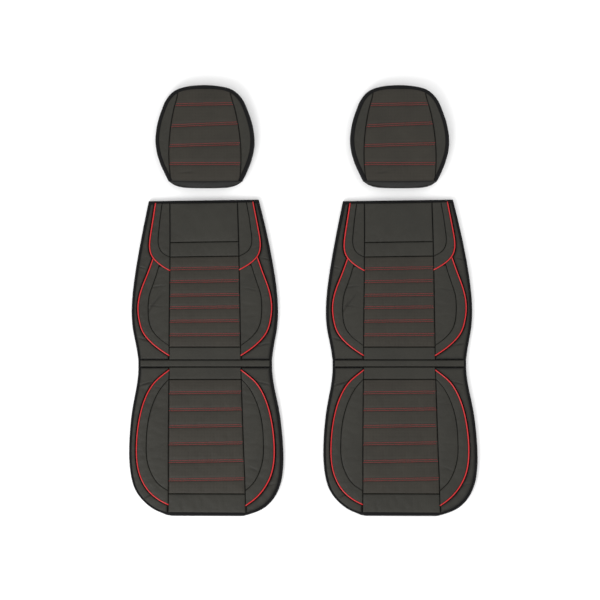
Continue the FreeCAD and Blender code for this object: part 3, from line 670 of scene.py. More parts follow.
def add(tree, kind, inputs=None, **settings):
    """Adds a shader node: settings are its properties, and inputs are values or links by socket."""
    node = tree.nodes.new("ShaderNode" + kind)
    for key, value in settings.items():
        setattr(node, key, value)
    for key, value in (inputs or {}).items():
        if isinstance(value, bpy.types.NodeSocket):
            tree.links.new(value, node.inputs[key])
        else:
            node.inputs[key].default_value = value
    return node


def new_material(name, constants=None):
    """A material with only a surface node and its output; returns it, its tree and the surface.

    constants are what is the same all over the surface, set on its own sockets.
    """
    material = bpy.data.materials.new(name)
    material.use_nodes = True
    tree = material.node_tree
    tree.nodes.clear()
    surface = add(tree, "BsdfPrincipled", constants)
    add(tree, "OutputMaterial", {"Surface": surface.outputs[0]})
    return material, tree, surface


def shade(tree, colour, amount, dark, light):
    """The colour made between dark and light times as bright, by an amount from 0 to 1."""
    factor = add(tree, "MapRange", {"Value": amount, "To Min": dark, "To Max": light})
    return add(tree, "VectorMath", {0: colour, "Scale": factor.outputs[0]},
               operation="SCALE").outputs[0]


def finish_surface(tree, surface, colour, roughness, height, depth, strength=1.0):
    """Links a colour, a roughness and a height map, whose full depth is given in metres.

    roughness is an amount from 0 to 1 with its least and its greatest value, or a link.
    """
    if isinstance(roughness, tuple):
        amount, least_rough, most_rough = roughness
        roughness = add(tree, "MapRange", {"Value": amount, "To Min": least_rough,
                                           "To Max": most_rough}).outputs[0]
    bump = add(tree, "Bump", {"Height": height, "Distance": depth, "Strength": strength})
    tree.links.new(colour, surface.inputs["Base Color"])
    tree.links.new(roughness, surface.inputs["Roughness"])
    tree.links.new(bump.outputs[0], surface.inputs["Normal"])


def coated_leather(name, hex_colour, perforated=False):
    """Polyurethane-coated leather cloth, embossed with a pebble grain: dark, soft gloss.

    The grain is 1.2 mm across in the hand and drawn at 1.9 mm so that it shows, in patches about
    70 mm across that are a little lighter or darker. Perforations are holes 1.4 mm wide in a square
    pattern, 5 mm apart. The panel's own "seam" numbers paint shade into the colour along the seams,
    beside the stitch rows and in the creases.
    """
    grain_size, hole_pitch, patches, finest = 0.0019, 0.005, 14.0, 900.0
    material, tree, surface = new_material(
        name, {"Specular IOR Level": 0.2, "Sheen Weight": 0.015, "Sheen Roughness": 0.45})
    place = add(tree, "TexCoord").outputs["Object"]
    cloud = add(tree, "TexNoise", {"Vector": place, "Scale": patches, "Detail": 4.0})
    fine = add(tree, "TexNoise", {"Vector": place, "Scale": finest, "Detail": 2.0})
    pebble = add(tree, "TexVoronoi", {"Vector": place, "Scale": 1 / grain_size},
                 feature="DISTANCE_TO_EDGE")
    grain = add(tree, "MapRange", {"Value": pebble.outputs["Distance"], "From Max": 0.22})
    grain = grain.outputs[0]
    seam = add(tree, "Attribute", attribute_name="seam").outputs["Fac"]
    colour = shade(tree, linear(hex_colour), cloud.outputs["Fac"], 0.78, 1.24)
    colour = shade(tree, colour, grain, 0.84, 1.05)
    # painted shade: the colour darkens by the panel's "seam" numbers
    colour = shade(tree, colour, seam, 1.0, 0.12)
    faint = add(tree, "Math", {0: fine.outputs["Fac"], 1: 0.25}, operation="MULTIPLY").outputs[0]
    height = add(tree, "Math", {0: grain, 1: faint}, operation="ADD").outputs[0]
    rough = (cloud.outputs["Fac"], 0.40, 0.58)
    if perforated:
        hole = add(tree, "TexVoronoi", {"Vector": place, "Scale": 1 / hole_pitch,
                                        "Randomness": 0.0}, voronoi_dimensions="2D")
        hole = add(tree, "MapRange", {"Value": hole.outputs["Distance"], "From Min": 0.17,
                                      "From Max": 0.11, "To Min": 0.0, "To Max": 1.0}).outputs[0]
        # painted shade: each hole is darkened almost to black, as the shade inside it
        colour = shade(tree, colour, hole, 1.0, 0.08)
        sunk = add(tree, "Math", {0: hole, 1: 3.0}, operation="MULTIPLY").outputs[0]
        height = add(tree, "Math", {0: height, 1: sunk}, operation="SUBTRACT").outputs[0]
        rough = add(tree, "MapRange", {"Value": rough[0], "To Min": rough[1],
                                       "To Max": rough[2]}).outputs[0]
        raw = add(tree, "Math", {0: hole, 1: 0.9}, operation="MULTIPLY").outputs[0]
        rough = add(tree, "Math", {0: rough, 1: raw}, operation="MAXIMUM").outputs[0]
    finish_surface(tree, surface, colour, rough, height, 0.00022, 0.8)
    return material


def vinyl_piping():
    """Red vinyl folded round a cord: smooth, satin, faintly mottled every few millimetres."""
    material, tree, surface = new_material("satin_vinyl_piping_red")
    place = add(tree, "UVMap", uv_map="cloth").outputs[0]
    marks = add(tree, "TexNoise", {"Vector": place, "Scale": 260.0, "Detail": 3.0}).outputs["Fac"]
    colour = shade(tree, linear("#B8141A"), marks, 0.82, 1.15)
    finish_surface(tree, surface, colour, (marks, 0.30, 0.46), marks, 0.0002)
    return material


def woven(name, hex_colour, rib, least_rough, most_rough, depth, sheen):
    """Woven polyester, seen as over-and-under ribs: matt, with a slight bloom at the edges.

    The weave is two sine ribs at right angles on the piece's own cloth map, multiplied, one and a
    half times as wide across as along. rib is their size as drawn, in metres: coarser than in the
    hand, where most are about 1 mm or less, so that they show.
    """
    material, tree, surface = new_material(
        name, {"Specular IOR Level": 0.12, "Sheen Weight": sheen, "Sheen Roughness": 0.5})
    place = add(tree, "UVMap", uv_map="cloth").outputs[0]
    axis = add(tree, "SeparateXYZ", {0: place}).outputs
    ribs = []
    for k, size in ((0, rib), (1, rib * 1.5)):
        turn = add(tree, "Math", {0: axis[k], 1: 2 * np.pi / size}, operation="MULTIPLY")
        ribs.append(add(tree, "Math", {0: turn.outputs[0]}, operation="SINE").outputs[0])
    crossed = add(tree, "Math", {0: ribs[0], 1: ribs[1]}, operation="MULTIPLY").outputs[0]
    weave = add(tree, "Math", {0: crossed, 1: 0.5, 2: 0.5}, operation="MULTIPLY_ADD").outputs[0]
    dust = add(tree, "TexNoise", {"Vector": place, "Scale": 45.0, "Detail": 4.0}).outputs["Fac"]
    colour = shade(tree, linear(hex_colour), weave, 0.55, 1.25)
    colour = shade(tree, colour, dust, 0.8, 1.2)
    finish_surface(tree, surface, colour, (dust, least_rough, most_rough), weave, depth)
    return material


def dotted_backing():
    """Brushed polyester backing with rubber grip dots 3 mm across, 8 mm apart: matt, dark grey."""
    material, tree, surface = new_material("brushed_polyester_grip_backing")
    dot_pitch = 0.008
    place = add(tree, "UVMap", uv_map="cloth").outputs[0]
    dots = add(tree, "TexVoronoi", {"Vector": place, "Scale": 1 / dot_pitch, "Randomness": 0.0},
               voronoi_dimensions="2D")
    dot = add(tree, "MapRange", {"Value": dots.outputs["Distance"], "From Min": 0.24,
                                 "From Max": 0.16}).outputs[0]
    fuzz = add(tree, "TexNoise", {"Vector": place, "Scale": 700.0, "Detail": 5.0}).outputs["Fac"]
    colour = shade(tree, linear("#34353A"), fuzz, 0.6, 1.4)
    colour = shade(tree, colour, dot, 1.0, 0.45)
    smoother = add(tree, "Math", {0: dot, 1: 0.4}, operation="MULTIPLY").outputs[0]
    rough = add(tree, "Math", {0: 0.95, 1: smoother}, operation="SUBTRACT").outputs[0]
    nap = add(tree, "Math", {0: fuzz, 1: 0.3}, operation="MULTIPLY").outputs[0]
    height = add(tree, "Math", {0: nap, 1: dot}, operation="ADD").outputs[0]
    finish_surface(tree, surface, colour, rough, height, 0.0005)
    return material


def moulded_plastic():
    """Black acetal, injection-moulded in a spark-eroded tool: fine even texture, low gloss."""
    material, tree, surface = new_material("moulded_acetal_black", {"IOR": 1.48})
    place = add(tree, "TexCoord").outputs["Object"]
    spark = add(tree, "TexNoise", {"Vector": place, "Scale": 2400.0, "Detail": 2.0})
    scuff = add(tree, "TexNoise", {"Vector": place, "Scale": 60.0, "Detail": 5.0}).outputs["Fac"]
    colour = shade(tree, linear("#1B1B1C"), scuff, 0.8, 1.35)
    finish_surface(tree, surface, colour, (scuff, 0.36, 0.55), spark.outputs["Fac"], 0.00005)
    return material


def thread(name, hex_colour):
    """Bonded polyester thread: matt, shaded in slanting bands.

    The bands come every 10 mm along a row, so that neighbouring stitches differ in tone. They are
    far wider than the thread's real twist of about 0.8 mm, which is not drawn.
    """
    material, tree, surface = new_material(name)
    place = add(tree, "TexCoord").outputs["Object"]
    bands = add(tree, "TexWave", {"Vector": place, "Scale": 62.5, "Distortion": 1.0},
                bands_direction="DIAGONAL").outputs["Fac"]
    colour = shade(tree, linear(hex_colour), bands, 0.7, 1.15)
    finish_surface(tree, surface, colour, (bands, 0.5, 0.65), bands, 0.0001)
    return material


LEATHER = coated_leather("embossed_coated_leather_black", "#2A2924")
PERFORATED = coated_leather("perforated_coated_leather_black", "#2E2B25", perforated=True)
PIPING = vinyl_piping()
TAPE = woven("woven_polyester_binding_tape_black", "#121213", 0.0022, 0.7, 0.9, 0.0003, 0.02)
ELASTIC = woven("knitted_elastic_black", "#2F2F2E", 0.0030, 0.65, 0.85, 0.0005, 0.04)
WEBBING = woven("woven_polyester_webbing_black", "#1C1C1E", 0.0018, 0.55, 0.8, 0.0005, 0.06)
BACKING = dotted_backing()
PLASTIC = moulded_plastic()
RED_THREAD = thread("bonded_polyester_thread_red", "#A01C20")


# The two covers

def seam_at(curve):
    """The seam's x at each y, far to the left where the seam does not reach."""
    return lambda y: width_at(curve, y, NOWHERE)


def most(*edges, shift=SEAM_GAP):
    """The right-most of several edges, moved right by the seam's own gap."""
    return lambda y: np.maximum.reduce([edge(y) for edge in edges]) + shift


def least(*edges, shift=SEAM_GAP):
    """The left-most of several edges, moved left by the seam's own gap."""
    return lambda y: np.minimum.reduce([edge(y) for edge in edges]) - shift


def outer(y):
    """The leather's edge inside the binding."""
    return cover_half(y, BINDING)


def centre_strip(y_low, y_high, rows=()):
    """A panel across the whole centre, with its stitch rows."""
    def half(y):
        return np.minimum(centre_half(y), outer(y)) - SEAM_GAP
    return {**panel(lambda y: -half(y), half, y_low, y_high), "rows": rows}


def sides_of(low, high, y_low, y_high):
    """A side panel and its mirror image, left one first."""
    right = panel(low, high, y_low, y_high)
    return [flipped(right), right]


def beside_centre(y):
    """The centre's edge, for side panels that also run along the piping, with its room."""
    return centre_half(y) - CORD_ROOM + SEAM_GAP


def wing_edge(y):
    """The wing piping's x, with room for the cord."""
    return seam_at(WING_PIPING)(y) + CORD_ROOM


def head_front(y):
    """The headrest cover's front leather inside the rim."""
    return head_half(y, RIM)


def head_centre(y):
    """Half the width of the quilted front panel."""
    return np.minimum(width_at(HEAD_SEAM, y), head_front(y)) - SEAM_GAP


# The leather panels of each kind, the left one first where there are two
SHAPES = {
    "seat_front": [centre_strip(FRONT_BINDING, 76.7)],
    "seat_rear": [centre_strip(470.3, 512.0)],
    "seat_quilt": [centre_strip(77.3, 469.7, SEAT_ROWS)],
    "lumbar": [centre_strip(537.7, 580.7)],
    "back_quilt": [centre_strip(581.3, 891.5, BACK_ROWS)],
    "chest": [centre_strip(892.1, 941.3)],
    "head": [centre_strip(941.9, 1076.0)],
    "gusset": [panel(lambda y: -outer(y), outer, 513.1, 536.6, 1.6)],
    "seat_inner": sides_of(most(centre_half), least(seam_at(SEAT_SEAM)), 0, SEAT_FOLD),
    "seat_outer": sides_of(most(centre_half, seam_at(SEAT_SEAM)),
                           least(seam_at(SEAT_PIPING), shift=CORD_LIP), 0, SEAT_FOLD),
    "seat_sides": sides_of(most(beside_centre, seam_at(SEAT_PIPING), shift=CORD_ROOM), outer,
                           FRONT_BINDING, SEAT_FOLD - 0.6),
    "wing_inner": sides_of(most(centre_half), least(seam_at(WING_SEAM)), BACK_FOLD, 1076),
    "wing_outer": sides_of(most(centre_half, seam_at(WING_SEAM)),
                           least(seam_at(WING_PIPING), shift=CORD_LIP), BACK_FOLD, 1076),
    "bolster_inner": sides_of(most(centre_half, wing_edge), least(seam_at(BOLSTER_SEAM)),
                              BACK_FOLD + 6, 860),
    "bolster_outer": sides_of(most(centre_half, wing_edge, seam_at(BOLSTER_SEAM)),
                              least(seam_at(BOLSTER_PIPING), shift=CORD_LIP), BACK_FOLD + 6, 900),
    "back_sides": sides_of(most(beside_centre, seam_at(BOLSTER_PIPING), seam_at(WING_PIPING),
                                shift=CORD_ROOM), outer, BACK_FOLD + 0.6, 1076),
    "headrest_quilt": [{**panel(lambda y: -head_centre(y), head_centre, HEM + 0.4, HEAD_TOP),
                        "rows": HEAD_ROWS, "folds": False}],
    "headrest_sides": [{**p, "folds": False} for p in sides_of(
        most(lambda y: width_at(HEAD_SEAM, y)), head_front, HEM + 0.4, HEAD_TOP)],
}
# The creases of each panel in the same order: from one point to another, how deep and how wide;
# the depth also sets how dark the crease's painted shade is
CREASES = {
    "seat_inner": [(), [((150, 386), (192, 382), 0.8, 3.0), ((150, 168), (186, 152), 1.0, 3.5)]],
    "seat_outer": [[((-172, 445), (-140, 438), 1.2, 2.6)], ()],
    "seat_sides": [[((-232, 448), (-172, 464), 3.0, 2.8), ((-214, 62), (-176, 80), 2.4, 2.8)],
                   [((162, 466), (230, 450), 2.2, 3.2), ((210, 106), (250, 112), 1.4, 3.0)]],
    "wing_outer": [(), [((168, 918), (202, 924), 0.9, 3.0)]],
    "bolster_inner": [[((-200, 786), (-134, 794), 1.5, 2.8), ((-200, 704), (-142, 772), 1.6, 4.0),
                       ((-196, 726), (-146, 722), 1.2, 2.6), ((-200, 694), (-168, 752), 1.0, 3)],
                      [((132, 784), (194, 770), 1.1, 3.0)]],
    "bolster_outer": [(), [((204, 760), (224, 757), 1.1, 2.6)]],
    "back_sides": [[((-238, 863), (-204, 853), 2.0, 2.4), ((-230, 614), (-192, 602), 2.0, 3.2)],
                   [((194, 886), (236, 873), 2.2, 2.4), ((182, 586), (230, 595), 2.2, 2.8)]],
    "headrest_quilt": [[((-88, 48), (-30, 53), 1.2, 4.0)]],
}
# How high, how full and how uneven each kind is, in the words of padding; seam is how wide the
# painted shade along the seams is, and a pair of seams is for the left panel and the right one.
# On the side panels the right one is wider: more painted shadow on the side away from the key
# light.
LOOKS = {
    "seat_front": dict(level=20.4, crown=2.4, fade=22, radius=4.5, uneven=0.8, seam=2.1,
                       cross=1.2),
    "seat_rear": dict(level=20.2, crown=1.8, fade=14, radius=4.5, seam=2.1, cross=1.2),
    "seat_quilt": dict(level=20.4, crown=3.4, fade=16, radius=4.5, uneven=0.4, seam=2.1,
                       cross=1.2, rows=SEAT_ROWS, swell=0.35),
    "lumbar": dict(level=20.2, crown=1.8, fade=14, radius=4.5, seam=2.1, cross=1.2),
    "back_quilt": dict(level=20.4, crown=3.2, fade=16, radius=4.5, uneven=0.4, seam=2.1,
                       cross=1.2, rows=BACK_ROWS, swell=0.35),
    "chest": dict(level=20.4, crown=2.4, fade=15, radius=4.2, seam=2.1, cross=1.2),
    "head": dict(level=20.4, crown=3.6, fade=30, radius=4.5, uneven=0.9, seam=2.1, cross=1.2),
    "gusset": dict(level=19.6, crown=1.0, fade=8, radius=5.0, uneven=0.25, seam=1.6),
    "seat_inner": dict(level=21.2, crown=3.0, fade=18, radius=2.8, uneven=0.6),
    "seat_outer": dict(level=21.4, crown=4.2, fade=13, radius=3.0, uneven=0.6, seam=0.9),
    "seat_sides": dict(level=19.6, crown=2.2, fade=13, radius=7.5, uneven=0.7, seam=(5.0, 7.5)),
    "wing_inner": dict(level=21.0, crown=2.6, fade=13, radius=2.8, uneven=0.6),
    "wing_outer": dict(level=21.2, crown=3.2, fade=11, radius=3.0, uneven=0.5, seam=0.9),
    "bolster_inner": dict(level=21.0, crown=3.0, fade=16, radius=2.8, uneven=1.0),
    "bolster_outer": dict(level=21.2, crown=3.8, fade=11, radius=3.0, uneven=0.6, seam=0.9),
    "back_sides": dict(level=19.4, crown=2.2, fade=11, radius=7.5, uneven=0.7, seam=(5.0, 7.5)),
    "headrest_quilt": dict(level=40.4, crown=4.4, fade=26, radius=3.6, uneven=0.7, seam=1.5,
                           cross=3.2, rows=HEAD_ROWS, swell=0.35),
    "headrest_sides": dict(level=40.0, crown=2.8, fade=18, radius=3.6, uneven=0.7, seam=1.5),
}

inflate([p for panels in SHAPES.values() for p in panels])
for order, (key, panels) in enumerate(SHAPES.items()):
    for number, p in enumerate(panels):
        creases = CREASES[key][number] if key in CREASES else ()
        # seam: the width of the painted shade along the seams, 1.3 mm unless the kind gives its own
        look = {"seam": 1.3, **LOOKS[key]}
        look["seam"] = np.broadcast_to(look["seam"], len(panels))[number]
        padding(p, creases=creases, seed=11 + 20 * order + 7 * number, **look)

seat_cords = [cord_of(SEAT_PIPING, 0, SEAT_FOLD - 3, sign) for sign in (-1, 1)]
back_cords = [cord_of(curve, BACK_FOLD + 2, top, sign) for sign in (-1, 1)
              for curve, top in ((WING_PIPING, 1078), (BOLSTER_PIPING, 890))]


def near_folds(low, high, step):
    """Heights from low to high, a fine step apart near the folds and a coarse one elsewhere."""
    some = [low]
    while some[-1] < high:
        close = min(abs(some[-1] - SEAT_FOLD), abs(some[-1] - BACK_FOLD)) < NEAR_FOLD
        some.append(some[-1] + (FINE_STEP if close else step))
    return np.array(some[:-1] + [high])


def along_edge(edge, heights):
    """Points on an edge at these heights."""
    return np.column_stack([width_at(edge, heights), heights])


def tape_path(part):
    """The edge of the seat or of the backrest as a path with the cover on its left."""
    count = 9
    if part == "seat":
        side = evenly(SEAT_EDGE[::-1], EDGE_STEP)
        fine = np.arange(SEAT_FOLD - NEAR_FOLD + 1, SEAT_FOLD - 0.5, FINE_STEP)
        waist = np.column_stack([np.full(count, WAIST_HALF),
                                 np.linspace(SEAT_FOLD, GUSSET_MIDDLE, count)])
        right = np.vstack([side[side[:, 1] < SEAT_FOLD - NEAR_FOLD],
                           along_edge(SEAT_EDGE, fine), waist])
        front = np.column_stack([np.linspace(-SEAT_EDGE[-1, 0], SEAT_EDGE[-1, 0], 80),
                                 np.zeros(80)])
        return np.vstack([right[::-1] * (-1, 1), front[1:-1], right])
    side = evenly(BACK_EDGE, EDGE_STEP)
    fine = np.arange(BACK_FOLD + FINE_STEP, BACK_FOLD + NEAR_FOLD, FINE_STEP)
    waist = np.column_stack([np.full(count, WAIST_HALF),
                             np.linspace(GUSSET_MIDDLE, BACK_FOLD, count)])
    right = np.vstack([waist, along_edge(BACK_EDGE, fine),
                       side[side[:, 1] > BACK_FOLD + NEAR_FOLD + 1]])
    top = np.column_stack([np.linspace(TOP_HALF, -TOP_HALF, 126), np.full(126, TOP)])
    return np.vstack([right, top[1:-1], right[::-1] * (-1, 1)])


def tape(part):
    """Binding tape folded over the edge: wider at the front and at the top than at the sides.

    Its section is given in shares of the width, and in heights that count from the tape's crest
    where they are under 0.5, and from the floor elsewhere.
    """
    path = tape_path(part)
    sides, ups = flat_frame(path)
    y = path[:, 1]
    wide = 8.2 + 5.6 * np.clip(1 - y / 18, 0, 1) + 2.2 * np.clip((y - TOP + 6) / 6, 0, 1)
    crest = 16.6 + 0.5 * sway(path[:, 0], y, 46, 71)
    shape = np.array([(0.14, 0.8), (0.9, 0.6), (1.0, 8.0), (1.0, -2.2), (1.0, -1.0), (0.8, -0.1),
                      (0.5, 0.35), (0.22, -0.6), (0.05, -3.2), (0.0, -7.0), (0.03, 4.0)])
    profile = np.empty((len(path), len(shape), 2))
    profile[..., 0] = wide[:, None] * shape[:, 0]
    profile[..., 1] = np.where(shape[:, 1] < 0.5, crest[:, None] + shape[:, 1], shape[:, 1])
    path = np.column_stack([path, np.zeros(len(path))])
    return carried(path, sides, ups, profile)


def backing_half(y):
    """Half the width of the backing cloth."""
    return cover_half(y, BACKING_INSET)


def flat_cloth(half, y, height):
    """A flat cloth at one height, whose edges are half(y) away from the centre line."""
    u = np.linspace(-1, 1, 41)
    x = half(y)[:, None] * u[None]
    return {"x": x, "y": y[:, None] + 0 * u[None], "z": np.full(x.shape, height)}


def cloth_under(part):
    """The backing cloth of the seat or the backrest, up to the middle of the gusset."""
    low, high = ((BACKING_INSET, GUSSET_MIDDLE - 0.2) if part == "seat" else
                 (GUSSET_MIDDLE + 0.2, TOP - BACKING_INSET))
    return flat_cloth(backing_half, near_folds(low, high, 9.0), BACKING_TOP)


def webbing_strip(reach, angle, x, y):
    """Webbing from its sewn root to a loop round a bar at (x, y), turned by an angle in degrees.

    In its own frame the strip runs to +Y and its line is a root against the cloth, a run down to
    the bar's top, a half turn round the bar and a doubled hem under it.
    """
    radius, root = 3.1, 4.1
    turn = np.linspace(np.pi / 2, -np.pi / 2, 13)
    lines = np.vstack([[(-reach - 11, root), (-reach - 2, root), (-reach + 6, 3.4)],
                       np.column_stack([radius * np.cos(turn), radius * np.sin(turn)]),
                       [(-4, -radius), (-11, -radius)]])
    line = evenly(lines, 0.9)
    way = np.gradient(line, axis=0)
    way /= np.linalg.norm(way, axis=1)[:, None]
    ahead = np.radians(angle)
    forward = np.array([-np.sin(ahead), np.cos(ahead), 0])
    across = np.array([np.cos(ahead), np.sin(ahead), 0])
    path = line[:, :1] * forward + line[:, 1:] * (0, 0, 1) + (x, y, BAR_HEIGHT)
    normal = -way[:, 1:] * forward + way[:, :1] * (0, 0, 1)
    half, thick = 12.3, 0.72
    profile = np.array([(-half, -0.5 * thick), (-half + 0.6, -thick), (half - 0.6, -thick),
                        (half, -0.5 * thick), (half, 0.5 * thick), (half - 0.6, thick),
                        (-half + 0.6, thick), (-half, 0.5 * thick)])
    return carried(path, -np.tile(across, (len(path), 1)), normal, profile[::-1] * (-1, 1))


STRAP_Y, STRAP_END = 799.2, 222.0          # the strap's height on the back, and half its length
SOCKET_BAR, TONGUE_BAR = -33.25, 15.15     # x of the bars that hold its two halves
ANCHOR_Y, HOOK_Y = 564.9, 62.0             # y of the bars of the anchor discs and of the hooks


def put(piece, body, nodes):
    """Rides a piece on a body if one is given, and hides the nodes it stands for."""
    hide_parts(*nodes)
    if body:
        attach(piece, body)
    return piece


seat_thread = stitch_rows(SHAPES["seat_quilt"][0], SEAT_ROWS, centre_half, 3.5)
back_thread = stitch_rows(SHAPES["back_quilt"][0], BACK_ROWS, centre_half, 3.5)


def flat_area(half, low, high):
    """The area in square metres between two mirrored edges: the sum of thin cross strips."""
    y = np.linspace(low, high, 600)
    return float(2 * half(y).mean() * (high - low)) / 1e6


CLOTH_AREA = {"seat": flat_area(backing_half, 4, 524), "back": flat_area(backing_half, 525, 1081)}

for side in SIDES:
    own = f"{side}_"
    for name, keys, body, slot, node, fill in (
            ("seat_plain_strips", "seat_front seat_rear", "seat", "leather",
             "seat_centre_panels", 0.5),
            ("seat_quilted_panel", "seat_quilt", "seat", "perforated_leather",
             "seat_centre_panels", 0.55),
            ("seat_bolster_pads", "seat_inner seat_outer", "seat", "leather",
             "seat_bolsters", 0.7),
            ("seat_side_leather", "seat_sides", "seat", "leather", "seat_side_panels", 0.35),
            ("gusset_pad", "gusset", "gusset", "leather", "gusset_strip", 0.3),
            ("back_plain_strips", "lumbar chest head", "back", "leather",
             "back_centre_panels", 0.5),
            ("back_quilted_panel", "back_quilt", "back", "perforated_leather",
             "back_centre_panels", 0.55),
            ("wing_pads", "wing_inner wing_outer", "back", "leather", "back_wings", 0.6),
            ("back_bolster_pads", "bolster_inner bolster_outer", "back", "leather",
             "back_bolsters", 0.7),
            ("back_side_leather", "back_sides", "back", "leather", "back_side_panels", 0.35)):
        panels = [p for key in keys.split() for p in SHAPES[key]]
        leather = PERFORATED if slot == "perforated_leather" else LEATHER
        put(pads(name, side, panels, leather), own + body, [own + node])
    put(swept("seat_piping_cord", side, seat_cords, PIPING, FRONT, lay), own + "seat",
        [own + "seat_piping"])
    put(swept("back_piping_cord", side, back_cords, PIPING, FRONT, lay), own + "back",
        [own + "back_piping"])
    for name, body, middles in (("seat_quilting_thread", "seat", seat_thread),
                                ("back_quilting_thread", "back", back_thread)):
        sewn = stitches(name, side, middles, FRONT, lay)
        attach(sewn, own + body)

    folds = {"seat": ("seat", "gusset", SEAT_FOLD), "back": ("gusset", "back", BACK_FOLD)}
    for part, (first, second, fold) in folds.items():
        edge = put(swept(f"{part}_edge_tape", side, [tape(part)], TAPE, FRONT, lay), None,
                   [own + f"{part}_binding", own + "gusset_binding"])
        under = pads(f"{part}_backing_cloth", side, [cloth_under(part)], BACKING, BACKING_BASE,
                     mapped=True)
        put(under, None, [own + f"{part}_backing"])
        for piece in (edge, under):
            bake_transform(piece)

    tabs = [webbing_strip(34.0, 0, sign * 120.0, ANCHOR_Y) for sign in (-1, 1)]
    put(swept("crease_tabs", side, tabs, WEBBING, FRONT, as_made), own + "gusset",
        [own + "anchor_tabs"])
    loops = [webbing_strip(26.0, 0, sign * 125.0, HOOK_Y) for sign in (-1, 1)]
    put(swept("front_loops", side, loops, WEBBING, FRONT, as_made), own + "seat",
        [own + "hook_loops"])
    socket_half = webbing_strip(STRAP_END + SOCKET_BAR - 12, -90, SOCKET_BAR, STRAP_Y)
    put(swept("strap_socket_half", side, [socket_half], ELASTIC, FRONT, as_made), own + "back",
        [own + "back_strap"])
    tongue_half = webbing_strip(STRAP_END - TONGUE_BAR - 12, 90, TONGUE_BAR, STRAP_Y)
    strap = put(swept("strap_tongue_half", side, [tongue_half], ELASTIC, FRONT, as_made),
                own + "back", [own + "back_strap"])
    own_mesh(strap)


# The headrest covers

head_thread = stitch_rows(SHAPES["headrest_quilt"][0], HEAD_ROWS, head_centre, 3.0)


def rim_band():
    """The stretch band round a headrest cover: a soft wall rolled over on to the front.

    Its section is given in distances inwards from the edge and heights from the floor; the outer
    points waver a little.
    """
    path = evenly(HEAD_EDGE, EDGE_STEP)
    path = np.vstack([path, path[-2::-1] * (-1, 1)])
    sides, ups = flat_frame(path)
    shape = np.array([(2.4, 1.0), (5.6, 1.2), (4.4, 8), (4.4, 33), (7.5, 37.2), (13.0, 38.4),
                      (13.6, 39.6), (12.6, 40.6), (8.0, 40.4), (4.2, 38.4), (1.5, 34.0),
                      (0.2, 26.0), (0.0, 18.0), (0.6, 8.0)])
    wobble = 0.5 * sway(path[:, 0], path[:, 1], 48, 81)
    profile = np.repeat(shape[None], len(path), axis=0)
    profile[:, 7:, 0] += np.clip(wobble, -0.1, 1)[:, None]
    return carried(np.column_stack([path, np.zeros(len(path))]), sides, ups, profile)


def head_back_half(y):
    """Half the width of the cloth back of a headrest cover."""
    return head_half(y, HEAD_BACK_INSET)


def head_back():
    """The plain cloth back of a headrest cover."""
    y = np.linspace(HEM + 0.5, HEAD_LENGTH - 1.6, 70)
    return flat_cloth(lambda y: np.maximum(head_back_half(y), 2.0), y, HEAD_BACK_TOP)


def elastic_hem():
    """The gathered hem round the mouth.

    Its line is a rounded rectangle, cosine and sine each raised to a small power; the band's
    section is carried round it, drawn in towards the mouth and rippled where it is gathered. On
    the front its inner end dips under the edge of the leather.
    """
    deep, middle = 19.5, 22.3
    angle = np.linspace(0, 2 * np.pi, 720, endpoint=False)[:, None]
    across = np.sign(np.cos(angle)) * np.abs(np.cos(angle)) ** 0.30
    up = np.sign(np.sin(angle)) * np.abs(np.sin(angle)) ** 0.42
    y = np.array([deep, 13.0, 7.0, 2.5, 0.6, 0.6, 2.5, 7.0, 13.0, deep])[None]
    inset = np.array([0.3, 0.2, 0.2, 0.5, 1.0, 1.8, 2.3, 2.2, 2.2, 2.2])[None]
    gather = 0.75 * np.sin(64 * angle + 1.5 * np.sin(5 * angle)) * np.clip(1 - y / 17, 0, 1)
    half = 40 + 86.6 * np.clip(y / deep, 0, 1) ** 0.24
    tall = 21.4 - 1.6 * np.clip(1 - y / deep, 0, 1)
    tall = tall - 3.4 * np.clip((y - 11) / 8.5, 0, 1) ** 2 * (up > 0)
    x = (half - inset + gather) * across
    z = middle + (tall - inset + gather) * up
    points = np.stack([x, y + 0 * x, z], axis=-1)
    n, m = points.shape[:2]
    number = np.arange(n * m).reshape(n, m)
    ahead = np.roll(number, -1, axis=0)
    quads = np.stack([number, ahead, np.roll(ahead, -1, axis=1), np.roll(number, -1, axis=1)],
                     axis=-1).reshape(-1, 4)
    flat = points.reshape(-1, 3)
    round_it = np.cumsum(np.linalg.norm(np.roll(points, -1, 0) - points, axis=2), axis=0)
    uv = np.stack([round_it, y + 0 * x], axis=-1).reshape(-1, 2) / 1000
    return flat, quads.tolist(), uv


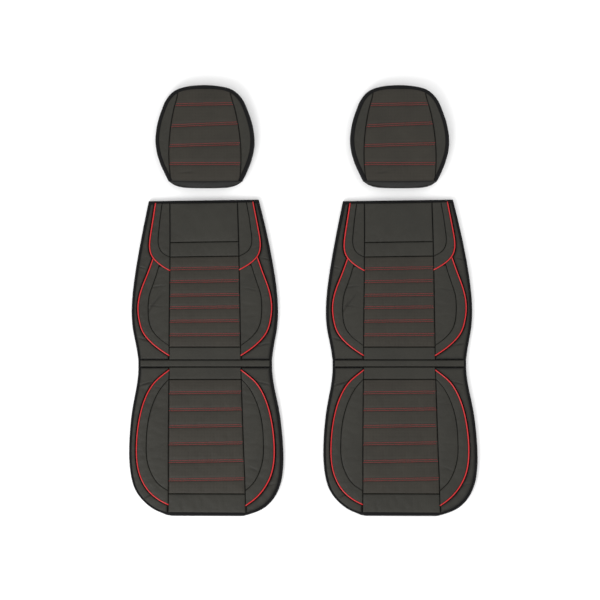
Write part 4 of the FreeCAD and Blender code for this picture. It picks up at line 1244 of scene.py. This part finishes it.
head_area = flat_area(head_back_half, 19, 348)
hem_parts, rim_parts = elastic_hem(), rim_band()
for side in SIDES:
    own, body = f"{side}_headrest_", f"{side}_headrest_cover"
    front = pads("headrest_quilted_front", side, SHAPES["headrest_quilt"], PERFORATED,
                 HEAD_BASE, MOUTH, lay_head)
    put(front, body, [own + "front_panel"])
    flanks = pads("headrest_front_sides", side, SHAPES["headrest_sides"], LEATHER, HEAD_BASE,
                  MOUTH, lay_head)
    put(flanks, body, [own + "side_panels"])
    put(swept("headrest_rim", side, [rim_parts], TAPE, MOUTH, lay_head), body,
        [own + "rim_band"])
    back = pads("headrest_back_cloth", side, [head_back()], BACKING, HEAD_BACK_BASE, MOUTH,
                lay_head, mapped=True)
    put(back, body, [own + "back_panel"])
    put(swept("headrest_hem", side, [hem_parts], ELASTIC, MOUTH, lay_head), body,
        [own + "elastic_hem"])
    sewn = stitches("headrest_quilting_thread", side, head_thread, MOUTH, lay_head)
    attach(sewn, body)

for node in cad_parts.values():
    if not node.hide_render:
        node.data.materials.clear()
        node.data.materials.append(PLASTIC)


# Floor, light and camera

def floor():
    """A plain pale floor in matt paint, far wider than the set and just under it."""
    half, under = 40.0, -0.0005
    material = new_material("matt_painted_floor", {
        "Base Color": (*linear("#F7F7F7"), 1.0), "Roughness": 0.9, "Specular IOR Level": 0.1})[0]
    corner = np.array([(-half, -half, under), (half, -half, under), (half, half, under),
                       (-half, half, under)])
    mesh_object("floor", corner, [[0, 1, 2, 3]], material)


def lamp(name, place, size, power):
    """A large square soft light that faces the middle of the set."""
    data = bpy.data.lights.new(name, "AREA")
    data.shape, data.size, data.energy = "SQUARE", size, power
    thing = bpy.data.objects.new(name, data)
    bpy.context.scene.collection.objects.link(thing)
    x, y, z = thing.location = place
    thing.rotation_euler = (np.arctan2(np.hypot(x, y), z), 0, np.arctan2(x, -y))


floor()
world = bpy.data.worlds.new("studio")
world.use_nodes = True
sky = world.node_tree.nodes["Background"]
sky.inputs["Color"].default_value, sky.inputs["Strength"].default_value = (1, 1, 1, 1), 1.0
bpy.context.scene.world = world
bpy.context.scene.view_settings.view_transform = "Standard"
lamp("key", (-2.2, -3.0, 2.8), 2.6, 140)
lamp("fill", (2.6, 1.8, 3.8), 3.0, 30)

camera = bpy.data.cameras.new("overhead")
camera.lens, camera.sensor_width = 100.0, 36.0
eye = bpy.data.objects.new("overhead", camera)
eye.location = (-0.013, 0.003, 5.74)
bpy.context.scene.collection.objects.link(eye)
bpy.context.scene.camera = eye
